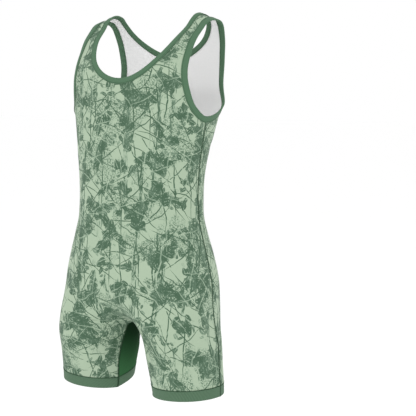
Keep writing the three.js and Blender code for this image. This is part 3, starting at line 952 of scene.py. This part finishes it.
def leaf_layer(tree, place, cell, moved, crowd, half_length=0.56, half_width=0.25):
    away, dice = motif_cells(tree, place, (cell, cell), 0, moved)
    centre = vector_calc(tree, "SUBTRACT", place, vector_calc(tree, "MULTIPLY", away, (cell, cell, 0)))
    angle = times(tree, dice[0], 2 * math.pi)
    parts = parts_of(tree, turned_about_z(tree, away, angle))
    arc = arc_width(tree, calc(tree, "DIVIDE", parts[0], half_length), half_width)
    aside = calc(tree, "ABSOLUTE", parts[1])
    leaf = soft_step(tree, less(tree, arc, aside), 0.0, 0.04)
    vein = soft_step(tree, aside, 0.04, 0.018)
    rib = calc(tree, "PINGPONG", less(tree, parts[0], aside), 0.07)
    ribs = soft_step(tree, rib, 0.02, 0.008, 0.0, 0.45)
    grown = soft_step(tree, cluster_field(tree, centre), crowd, crowd + 0.02)
    bare = less(tree, 1.0, calc(tree, "MAXIMUM", times(tree, vein, 0.75), ribs))
    return times(tree, times(tree, leaf, grown), bare)


def blade_layer(tree, place, cell, turn, moved, thickness, bow, kept):
    away, dice = motif_cells(tree, place, cell, turn, moved)
    parts = parts_of(tree, away)
    bend = times(tree, times(tree, parts[1], parts[1]), bow)
    lean = times(tree, less(tree, dice[0], 0.5), parts[1])
    aside = calc(tree, "ADD", parts[0], calc(tree, "MULTIPLY_ADD", lean, 1.6, bend))
    arc = arc_width(tree, times(tree, parts[1], 1.9), thickness)
    inside = less(tree, arc, calc(tree, "ABSOLUTE", aside))
    blade = soft_step(tree, inside, 0.0, thickness * 0.3)
    return times(tree, blade, calc(tree, "GREATER_THAN", dice[1], 1 - kept))


def most(tree, values):
    result = values[0]
    for value in values[1:]:
        result = calc(tree, "MAXIMUM", result, value)
    return result


# %% [markdown]
# ## The printed cloth
# The ground is a pale green. Four sizes of leaves stand in dark clusters, mottled reed beds run
# down the cloth between them, and thin blades cross both in five directions. Pale blades run
# over the dark, as the bare cloth shows through. The knit is a fine rib under a soft sheen.

# %% The greens of the print
pale_green = colour(166, 185, 160)
middle_green = colour(115, 140, 118)
deep_green = colour(68, 97, 74)


def knit_bump(tree, shader, place, pitch, strength, depth):
    wales = ribs(tree, place, pitch, 0.6)
    height = calc(tree, "MULTIPLY_ADD", noise(tree, place, 900.0, 2.0), 0.5, wales)
    inputs = {"Strength": strength, "Distance": depth, "Height": height}
    bump = add_node(tree, "ShaderNodeBump", None, inputs)
    tree.links.new(bump.outputs[0], shader.inputs["Normal"])


def ribs(tree, place, pitch, waver):
    settings = {"wave_type": "BANDS", "bands_direction": "X"}
    inputs = {"Vector": place, "Scale": 1 / (pitch * math.pi), "Distortion": waver, "Detail": 1.0}
    return add_node(tree, "ShaderNodeTexWave", settings, inputs).outputs[1]


def stretched(tree, place, scale):
    return vector_calc(tree, "MULTIPLY", place, (*scale, 1))


# %% The motifs of the print
# Leaves: cell in metres, shift of the cells, level of the cluster field from which they grow.
leaf_rows = [
    (0.030, (0.013, 0.004, 0), 0.54),
    (0.023, (0.207, 0.118, 0), 0.53),
    (0.017, (0.411, 0.332, 0), 0.51),
    (0.012, (0.613, 0.071, 0), 0.49),
]
# Blades: cell in metres, turn in degrees, shift of the cells, thickness, bow, share that is kept.
reed_rows = [
    ((0.030, 0.160), 4, (0.01, 0.02, 0), 0.052, 0.5, 0.75),
    ((0.026, 0.110), 38, (0.12, 0.06, 0), 0.048, -0.7, 0.65),
    ((0.028, 0.120), -47, (0.31, 0.17, 0), 0.046, 0.6, 0.65),
    ((0.034, 0.090), 82, (0.23, 0.41, 0), 0.036, 0.8, 0.6),
    ((0.022, 0.070), 63, (0.43, 0.11, 0), 0.050, -0.5, 0.5),
]
bleached_rows = [
    ((0.034, 0.130), -9, (0.37, 0.23, 0), 0.050, -0.6, 0.7),
    ((0.030, 0.100), 55, (0.52, 0.36, 0), 0.048, 0.7, 0.65),
    ((0.030, 0.085), -70, (0.17, 0.29, 0), 0.046, 0.5, 0.6),
]
print(len(leaf_rows), "leaves,", len(reed_rows), "dark and", len(bleached_rows), "pale blades")

# %% Mix the print


def dark_motifs(tree, place, swayed, specks):
    leaves = [leaf_layer(tree, swayed, *row) for row in leaf_rows]
    heart = soft_step(tree, cluster_field(tree, swayed), 0.56, 0.64)
    heart = times(tree, heart, soft_step(tree, specks, 0.40, 0.58, 0.2, 0.8))
    bed = soft_step(tree, noise(tree, stretched(tree, swayed, (34.0, 3.5)), 1.0, 1.5), 0.58, 0.63)
    streaks = noise(tree, stretched(tree, swayed, (260.0, 45.0)), 1.0, 3.0, 0.6)
    bed = times(tree, bed, soft_step(tree, streaks, 0.44, 0.58, 0.1, 0.9))
    reeds = [blade_layer(tree, swayed, *row) for row in reed_rows]
    patches = soft_step(tree, noise(tree, swayed, 12.0, 3.0, 0.55), 0.46, 0.56)
    lichen = times(tree, patches, soft_step(tree, specks, 0.47, 0.57, 0.0, 0.6))
    return most(tree, [*leaves, heart, bed, *reeds, lichen])


def printed_finish():
    finish, tree, shader = new_finish("printed_cloth", 0.62, 0.06)
    place = flat_place(tree)
    inputs = {"Vector": place, "Scale": 22.0}
    drift = add_node(tree, "ShaderNodeTexNoise", {"noise_dimensions": "2D"}, inputs)
    sway = vector_calc(tree, "SUBTRACT", drift.outputs[1], (0.5, 0.5, 0.5))
    swayed = vector_calc(tree, "ADD", place, vector_calc(tree, "MULTIPLY", sway, (0.012, 0.012, 0)))
    specks = noise(tree, place, 300.0, 4.0, 0.7)
    dark = dark_motifs(tree, place, swayed, specks)
    bleached = most(tree, [blade_layer(tree, swayed, *row) for row in bleached_rows])
    tone = soft_step(tree, noise(tree, swayed, 48.0, 2.0), 0.36, 0.58, 0.72, 1.0)
    ink = times(tree, times(tree, dark, tone), calc(tree, "MULTIPLY_ADD", bleached, -0.65, 1.0))
    flecks = soft_step(tree, specks, 0.35, 0.65)
    dotted = calc(tree, "MULTIPLY_ADD", flecks, 0.12, times(tree, ink, 0.92))
    first = blend_colours(tree, soft_step(tree, dotted, 0.05, 0.5), pale_green, middle_green)
    paint = blend_colours(tree, soft_step(tree, dotted, 0.35, 0.9), first, deep_green)
    tree.links.new(paint, shader.inputs["Base Color"])
    knit_bump(tree, shader, place, 0.0011, 0.25, 0.00006)
    return finish


printed_cloth = printed_finish()
print(len(printed_cloth.node_tree.nodes), "nodes draw the print")

# %% [markdown]
# ## The inner face and the plain cloths
# Printing ink stays on the face, so the wrong side is a warm pale grey with a fine knit. The
# gusset is one deep green, with painted shade that darkens it to nearly black up in the fork. Tape and
# elastic are ribbed.

# %% Plain finishes


def ribbed_share(tree, place, pitch, slant, share):
    lines = ribs(tree, turned_about_z(tree, place, math.radians(slant)), pitch, 0.4)
    cloudy = noise(tree, place, 300.0, 4.0, 0.6)
    lined = calc(tree, "MULTIPLY_ADD", lines, share, times(tree, cloudy, 1 - share))
    return soft_step(tree, lined, 0.2, 0.8)


def plain_finish(name, roughness, sheen, valley, ridge, rib, knit):
    finish, tree, shader = new_finish(name, roughness, sheen)
    place = flat_place(tree)
    paint = blend_colours(tree, ribbed_share(tree, place, *rib), colour(*valley), colour(*ridge))
    tree.links.new(paint, shader.inputs["Base Color"])
    knit_bump(tree, shader, place, *knit)
    return finish


def gusset_finish_with_painted_shade(unshaded_level, darkest_shade_level):
    finish, tree, shader = new_finish("gusset_cloth", 0.9)
    shader.inputs["Specular IOR Level"].default_value = 0.06
    place = flat_place(tree)
    spot = parts_of(tree, add_node(tree, "ShaderNodeTexCoord").outputs["Object"])
    # Painted shade: by height in object space, the green darkens to near-black up in the fork, where the
    # legs shade it.
    painted_fork_shade = soft_step(tree, spot["Z"], unshaded_level, darkest_shade_level)
    valley = blend_colours(tree, painted_fork_shade, colour(54, 99, 62), colour(2, 28, 9))
    ridge = blend_colours(tree, painted_fork_shade, colour(62, 108, 70), colour(6, 37, 14))
    paint = blend_colours(tree, ribbed_share(tree, place, 0.0024, 0, 0.4), valley, ridge)
    tree.links.new(paint, shader.inputs["Base Color"])
    knit_bump(tree, shader, place, 0.0012, 0.3, 0.00008)
    return finish


# Ribs: pitch in metres, slant in degrees, share of the colour. Knit: pitch, strength and depth.
inner_face = plain_finish(
    "inner_face", roughness=0.9, sheen=0.1, valley=(243, 243, 243), ridge=(250, 249, 249),
    rib=(0.0024, 0, 0.35), knit=(0.0022, 0.4, 0.00012),
)
# The gusset's green carries painted shade, darkest at the fork and none at the hem.
gusset_green_with_painted_shade = gusset_finish_with_painted_shade(unshaded_level=-0.785, darkest_shade_level=-0.650)
tape_green = plain_finish(
    "tape", roughness=0.75, sheen=0.03, valley=(74, 106, 80), ridge=(86, 119, 92),
    rib=(0.0022, 0, 0.6), knit=(0.0016, 0.6, 0.00018),
)
elastic_green = plain_finish(
    "leg_elastic", roughness=0.7, sheen=0.03, valley=(70, 99, 75), ridge=(90, 119, 94),
    rib=(0.0028, 28, 0.7), knit=(0.0018, 0.7, 0.0002),
)
thread_green = new_finish("thread", 0.7, 0.02, colour(42, 74, 49))[0]
print([finish.name for finish in bpy.data.materials][-6:])

# %% [markdown]
# ## The front and the back
# Each panel is one cut of cloth. The two halves share their centre line, so the doubles there
# are joined before the wall is made. The back has its own stretch of the print.

# %% Make the two panels


def make_panel(side):
    left, right = creased_halves(side)
    flat = cut[side][: band_row + 1]
    facing_back = side == "back"
    shift = (2.3, 1.7) if facing_back else (0.4, 0.9)
    grids = [
        (drawn_back(left, arch_row, strap_rows), flat, facing_back),
        (drawn_back(right, arch_row, strap_rows), flat * np.array([-1, 1]), not facing_back),
    ]
    piece = cloth_mesh(side + "_cloth", grids, shift)
    join_doubles(piece)
    piece.data.materials.append(printed_cloth)
    piece.data.materials.append(inner_face)
    give_wall(piece, cloth_wall, 1)
    finish_shape(piece)
    return piece


panels = {side: make_panel(side) for side in ("front", "back")}

# %% Make the gusset


def laid_flat(points):
    """Distances across and down the grid, in metres."""
    across, down = running(distances(points, 1), 1), running(distances(points, 0))
    return np.stack([across, -down], axis=-1) * mm


def make_gusset():
    points = gusset[0][: band_row - arch_row + 1]
    flat = laid_flat(points) * np.array([-1, 1])
    flat[..., 0] -= flat[:, gusset_columns // 2, 0][:, None]
    points = drawn_back(points, 1, 1, ends=False)
    grids = [(points, flat, True), (other_half(points), flat * np.array([1, -1]), False)]
    piece = cloth_mesh("gusset", grids)
    join_doubles(piece)
    piece.data.materials.append(gusset_green_with_painted_shade)
    give_wall(piece, cloth_wall, 0)
    finish_shape(piece)
    return piece


gusset_piece = make_gusset()
print("gusset spans", [round(v, 3) for v in gusset_piece.dimensions])

# %% [markdown]
# ## The folded tapes
# A narrow knit tape is folded over the raw edge and stitched down. Its section is a flattened U:
# one leaf outside, a round fold past the edge and one leaf inside. We carry the section along
# the edge. Its leaves lie on the curved cloth, so each place of the section is found on the
# cloth by a small step in angle and station.

# %% The section of a tape, in widths inwards and millimetres out
tape_section = table(["inward", "beyond", "out"], [
    [1, 0, 0.5],
    [1, 0, 0.95],
    [0.965, 0, 1.25],
    [0.82, 0, 1.2],
    [0.7, 0, 1.3],
    [0.35, 0, 1.38],
    [0, 0, 1.36],
    [0, 0.75, 1.02],
    [0, 1.25, 0.32],
    [0, 1.42, -0.5],
    [0, 1.25, -1.32],
    [0, 0.75, -2.02],
    [0, 0, -2.36],
    [0.35, 0, -2.38],
    [0.7, 0, -2.3],
    [0.965, 0, -2.25],
    [1, 0, -1.95],
    [1, 0, -1.5],
    [0.6, 0, -1.3],
    [0, 0, -1.25],
    [0, 0.32, -0.5],
    [0, 0, 0.25],
    [0.6, 0, 0.3],
])


def surface(sides, angle, station, reader):
    result = np.empty((len(angle), 3))
    for side in ("front", "back"):
        chosen = sides == side
        if chosen.any():
            result[chosen] = reader(side, angle[chosen], station[chosen])
    return result


def edge_frame(sides, angle, station, opening):
    points = surface(sides, angle, station, body_point)
    normals = surface(sides, angle, station, body_normal)
    along = unit(np.roll(points, -1, axis=0) - np.roll(points, 1, axis=0))
    inward = unit(np.cross(normals, along))
    if np.mean(np.sum(inward * (points - opening), axis=1)) < 0:
        inward = -inward
    turned = [surface(sides, angle + way * 0.3, station, body_point) for way in (1, -1)]
    lowered = surface(sides, angle, station + 0.5, body_point)
    by_angle, by_station = (turned[0] - turned[1]) / 0.6, (lowered - points) / 0.5
    aa, ss = np.sum(by_angle ** 2, axis=1), np.sum(by_station ** 2, axis=1)
    both = np.sum(by_angle * by_station, axis=1)
    ia, js = np.sum(by_angle * inward, axis=1), np.sum(by_station * inward, axis=1)
    scale = aa * ss - both ** 2
    step = np.stack([(ia * ss - js * both) / scale, (js * aa - ia * both) / scale], axis=-1)
    return points, normals, inward, step


def cloth_place(ring, step, inward, out):
    """Points that lie some way in from the edge and off the cloth, and the normals there."""
    sides, angle, station = ring
    angle, station = angle + step[:, 0] * inward, station + step[:, 1] * inward
    normals = surface(sides, angle, station, body_normal)
    return surface(sides, angle, station, body_point) + normals * out, normals


def ring_of(edges, parts):
    """One closed ring from edges of the panels: side, sign of x and direction of each part."""
    rows = []
    for side, sign, order in parts:
        edge = edges[side][::order]
        rows.append((np.full(len(edge) - 1, side), edge[:-1, 0] * sign, edge[:-1, 1]))
    return [np.concatenate([row[k] for row in rows]) for k in range(3)]


neck_ring = ring_of(neck_edge, [("front", 1, 1), ("front", -1, -1), ("back", -1, 1), ("back", 1, -1)])
armhole_rings = {
    name: ring_of(armhole_edge, [("front", sign, 1), ("back", sign, -1)])
    for name, sign in (("left", 1), ("right", -1))
}
print("points round the neck:", len(neck_ring[0]), "and an armhole:", len(armhole_rings["left"][0]))

# %% Make the tapes


def closed_lengths(points):
    """Distances round a ring, counted from the point before the first."""
    return np.cumsum(distances(np.concatenate([points[-1:], points, points[:1]]), 0))


def make_tape(name, ring, opening, width):
    points, normals, inward, step = edge_frame(*ring, np.array(opening, float))
    section = []
    for share, beyond, out in zip(*[tape_section[key] for key in ("inward", "beyond", "out")]):
        section.append(cloth_place(ring, step, share * width, out)[0] - inward * beyond)
    grid = np.stack(section, axis=1)
    u, v = closed_lengths(points), closed_lengths(grid[0])
    grid = np.concatenate([grid, grid[:1]])
    grid = np.concatenate([grid, grid[:, :1]], axis=1)
    flat = np.stack(np.meshgrid(u, v, indexing="ij"), axis=-1) * mm
    piece = cloth_mesh(name, [(grid, flat, False)])
    join_doubles(piece)
    face_outwards(piece)
    piece.data.materials.append(tape_green)
    finish_shape(piece, 70)
    print("  length %.3f m, girth %.1f mm" % ((u[-1] - u[0]) * mm, v[-1] - v[0]))
    return piece, ring, step


neck_tape = make_tape("neck_tape", neck_ring, (0, -20, -20), neck_tape_width)
armhole_tapes = {}
for name, sign in (("left", 1), ("right", -1)):
    opening = (sign * 168, -50, -100)
    armhole_tapes[name] = make_tape(
        "armhole_tape_" + name, armhole_rings[name], opening, armhole_tape_width
    )

# %% [markdown]
# ## The leg elastic
# Each leg ends in a band of ribbed elastic, 23 mm high, that grips the thigh. It is a little
# thicker than the cloth, and like the legs it is cut in a front, a back and a gusset part.

# %% Make the six bands
band_wall = 0.002
band_out = 0.25
band_edge = 0.0005


def make_band(name, grid, reversed_way, sign):
    points, normals = grid
    points = points + normals * band_out
    flat = laid_flat(points)
    points = drawn_back(points, 0, 0)
    points = points if sign > 0 else other_half(points)
    piece = cloth_mesh(name, [(points, flat, reversed_way == (sign > 0))])
    piece.data.materials.append(elastic_green)
    give_wall(piece, band_wall, 0)
    pick(piece)
    soft = piece.modifiers.new("soft_edge", "BEVEL")
    soft.width, soft.segments = band_edge, 2
    soft.limit_method, soft.angle_limit = "ANGLE", math.radians(50)
    bpy.ops.object.modifier_apply(modifier="soft_edge")
    finish_shape(piece, 60)
    return piece


bands = {}
for side_name, sign in (("left", 1), ("right", -1)):
    for part, grid, reversed_way in (
        ("front", [g[band_row:] for g in half["front"]], False),
        ("back", [g[band_row:] for g in half["back"]], True),
        ("gusset", [g[band_row - arch_row:] for g in gusset], True),
    ):
        band_name = "leg_elastic_%s_%s" % (part, side_name)
        bands[part, side_name] = make_band(band_name, grid, reversed_way, sign)

# %% [markdown]
# ## Stitches
# Seams in stretch cloth are sewn flat, with threads that cross the seam, and tapes are held by a
# row of short stitches. One stitch is a small cylinder that we cut across, pull down at its ends
# and narrow there. It is modelled once and copied along each seam.

# %% Model one stitch


def pinch_end(stitch, way, length, thickness):
    """Narrows one end of the stitch and pulls it down into the cloth."""
    bpy.ops.mesh.select_all(action="DESELECT")
    bpy.ops.object.mode_set(mode="OBJECT")
    for vertex in stitch.data.vertices:
        vertex.select = vertex.co.z * way > length * 0.45
    bpy.ops.object.mode_set(mode="EDIT")
    bpy.ops.transform.resize(value=(0.6, 0.6, 1))
    bpy.ops.transform.translate(value=(-thickness * 0.75, 0, 0))


def model_stitch(length, thickness):
    bpy.ops.object.select_all(action="DESELECT")
    bpy.ops.mesh.primitive_cylinder_add(
        vertices=6, radius=thickness / 2, depth=length, end_fill_type="TRIFAN"
    )
    stitch = bpy.context.object
    bpy.ops.object.mode_set(mode="EDIT")
    for share in (-0.34, 0, 0.34):
        bpy.ops.mesh.select_all(action="SELECT")
        bpy.ops.mesh.bisect(plane_co=(0, 0, share * length), plane_no=(0, 0, 1))
    for way in (-1, 1):
        pinch_end(stitch, way, length, thickness)
    bpy.ops.object.mode_set(mode="OBJECT")
    corners = np.array([vertex.co[:] for vertex in stitch.data.vertices])
    faces = [tuple(face.vertices) for face in stitch.data.polygons]
    bpy.data.objects.remove(stitch)
    return corners[:, [2, 1, 0]] * np.array([1, -1, 1]), faces


short_stitch = model_stitch(0.0024, 0.0006)
cross_stitch = model_stitch(0.0026, 0.0008)
seam_stitch = model_stitch(0.0056, 0.0009)
print(len(short_stitch[1]), "faces in a stitch")

# %% Lay stitches along a line
seam_pitch, seam_slant = 1.0, 24


def places_along(points, normals, pitch, slant):
    """Centres, directions and upward normals of the stitches of one line."""
    reach = running(distances(points, 0))
    places = np.arange(pitch / 2, reach[-1], pitch)
    at, up = read_at(places, reach, points), unit(read_at(places, reach, normals))
    along = unit(read_at(places + 0.5, reach, points) - read_at(places - 0.5, reach, points))
    along = unit(along - up * np.sum(along * up, axis=1)[:, None])
    turns = np.zeros(len(places))
    if slant:
        turns = np.radians(slant) * np.where(np.arange(len(places)) % 2, -1, 1) + math.pi / 2
    way = along * np.cos(turns)[:, None] + np.cross(up, along) * np.sin(turns)[:, None]
    return at, way, up


def lay_stitches(name, shape, lines, pitch, slant):
    corners, faces = shape
    length, width, height = [corners[:, k: k + 1] for k in range(3)]
    copies = []
    for line in lines:
        at, way, up = [values[:, None] for values in places_along(*line, pitch, slant)]
        copies.append(at * mm + way * length + np.cross(up, way) * width + up * height)
    points = np.concatenate(copies)
    starts = range(0, len(points) * len(corners), len(corners))
    all_faces = [tuple(i + start for i in face) for start in starts for face in faces]
    mesh = bpy.data.meshes.new(name)
    mesh.from_pydata(points.reshape(-1, 3).tolist(), [], all_faces)
    piece = bpy.data.objects.new(name, mesh)
    bpy.context.collection.objects.link(piece)
    face_outwards(piece)
    piece.data.materials.append(thread_green)
    finish_shape(piece, 60)
    return piece


def tape_lines(tape, width):
    lines = []
    for out in (tape_outer, tape_inner):
        points, normals = cloth_place(*tape[1:], tape_row * width, out)
        normals = normals if out > 0 else -normals
        lines.append([np.concatenate([values, values[:1]]) for values in (points, normals)])
    return lines


# %% Sew the tapes down
tape_row, tape_pitch = 0.82, 3.0
tape_outer, tape_inner = 1.35, -2.42

neck_stitches = lay_stitches(
    "neck_stitches", short_stitch, tape_lines(neck_tape, neck_tape_width), tape_pitch, 0
)
armhole_stitches = {
    name: lay_stitches(
        "armhole_stitches_" + name, short_stitch, tape_lines(tape, armhole_tape_width), tape_pitch, 0
    )
    for name, tape in armhole_tapes.items()
}

# %% [markdown]
# ## Seams
# The shoulder seams, the side seams and the seams of the gusset are sewn flat: threads cross the
# join on both faces of the cloth. A row of the same threads holds the top of each leg band.

# %% Sew the seams
cloth_outer, cloth_inner = 0.15, -1.15
band_outer, band_inner = 0.4, -1.95
inside_tape = slice(strap_rows + tape_columns, band_row + 1)
between_tapes = slice(tape_columns, -tape_columns)


def both_faces(points, normals, outer=cloth_outer, inner=cloth_inner):
    return [(points + normals * outer, normals), (points + normals * inner, -normals)]


def sewn_line(grid, rows, columns, sign, *depths):
    """A line of a grid, on the wearer's left or mirrored, on both faces of the cloth."""
    line = [values[rows, columns] for values in grid]
    return both_faces(*(line if sign > 0 else map(other_half, line)), *depths)


def sew(name, shape, lines):
    return lay_stitches(name, shape, lines, seam_pitch, seam_slant)


side_stitches, shoulder_stitches, hem_stitches, gusset_stitches = {}, {}, {}, {}
in_band, everywhere = slice(band_row, None), slice(None)
band_tops = ((half["front"], band_row), (half["back"], band_row), (gusset, band_row - arch_row))
for name, sign in (("left", 1), ("right", -1)):
    lines = sewn_line(half["front"], inside_tape, -1, sign)
    lines += sewn_line(half["front"], in_band, -1, sign, band_outer, band_inner)
    side_stitches[name] = sew("side_seam_" + name, seam_stitch, lines)
    lines = sewn_line(half["front"], 0, between_tapes, sign)
    shoulder_stitches[name] = sew("shoulder_seam_" + name, cross_stitch, lines)
    lines = []
    for grid, row in band_tops:
        lines += sewn_line(grid, row, everywhere, sign, band_outer, band_inner)
    hem_stitches[name] = sew("hem_stitches_" + name, cross_stitch, lines)
for side in ("front", "back"):
    arch = [values[arch_row: band_row + 1, 0] for values in half[side]]
    lines = both_faces(*[np.concatenate([other_half(values)[::-1], values[1:]]) for values in arch])
    for sign in (1, -1):
        lines += sewn_line(half[side], in_band, 0, sign, band_outer, band_inner)
    gusset_stitches[side] = sew("gusset_seam_" + side, seam_stitch, lines)

# %% [markdown]
# ## What belongs to what
# Each piece rides on the frame's one body and stands for a node of the frame.

# %% Attach every piece to the frame's body
pieces_of = {
    "front_panel": (panels["front"], "printed_cloth"),
    "back_panel": (panels["back"], "printed_cloth"),
    "crotch_gusset": (gusset_piece, "gusset_cloth"),
    "neck_binding": (neck_tape[0], "binding"),
    "armhole_binding_left": (armhole_tapes["left"][0], "binding"),
    "armhole_binding_right": (armhole_tapes["right"][0], "binding"),
}
for (part, side_name), piece in bands.items():
    pieces_of["hem_band_%s_%s" % (part, side_name)] = (piece, "hem_band")
for node, (piece, slot) in pieces_of.items():
    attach(piece, "root")
    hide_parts(node)

sewing = [
    piece
    for pieces in (armhole_stitches, side_stitches, shoulder_stitches, gusset_stitches)
    for piece in pieces.values()
]
for piece in [neck_stitches, *sewing]:
    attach(piece, "root")
for piece in hem_stitches.values():
    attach(piece, "root")
print(len(pieces_of), "pieces stand for nodes")

# %% Count the pieces
print("cloths declared:", len(pieces_of))

# %% [markdown]
# ## The room
# A wide pale floor well below the suit, under a white world, gives an even ground. Four wide soft
# lights stand in front, at both sides and behind, so that no crease is lost in shadow.

# %% Floor and lights
floor_level, floor_size = -1.25, 60
white = (1, 1, 1, 1)
lit_point = np.array([0, -0.06, -0.4])
lamp_size = 2.5
# Lamps: turn in degrees, height and distance in metres, power in watts.
lamp_rows = {
    "key": (5, 1.2, 3.0, 16),
    "side": (95, 0.6, 3.0, 6),
    "fill": (-60, 0.4, 3.2, 4),
    "rear": (185, 0.8, 3.2, 8),
}


def make_floor():
    bpy.ops.object.select_all(action="DESELECT")
    bpy.ops.mesh.primitive_plane_add(size=floor_size, location=(0, 0, floor_level))
    floor = bpy.context.object
    floor.name = "floor"
    floor.data.materials.append(new_finish("pale_floor", 0.95, 0.0, white)[0])


def add_lamp(name, turn, height, away, power):
    angle = math.radians(turn)
    place = (away * math.sin(angle), -away * math.cos(angle), height)
    bpy.ops.object.light_add(type="AREA", location=place)
    lamp = bpy.context.object
    lamp.name = name
    lamp.data.size, lamp.data.energy = lamp_size, power
    x, y, z = lit_point - np.array(place)
    tilt = math.acos(-z / math.hypot(x, y, z))
    lamp.rotation_euler = (tilt, 0, math.atan2(y, x) - math.pi / 2)


make_floor()
world = bpy.context.scene.world or bpy.data.worlds.new("room")
bpy.context.scene.world = world
world.use_nodes = True
world.node_tree.nodes["Background"].inputs["Color"].default_value = white
world.node_tree.nodes["Background"].inputs["Strength"].default_value = 1.0
bpy.context.scene.view_settings.view_transform = "Standard"
for name, row in lamp_rows.items():
    add_lamp(name, *row)
print("floor at", floor_level, "and", len(lamp_rows), "lamps")
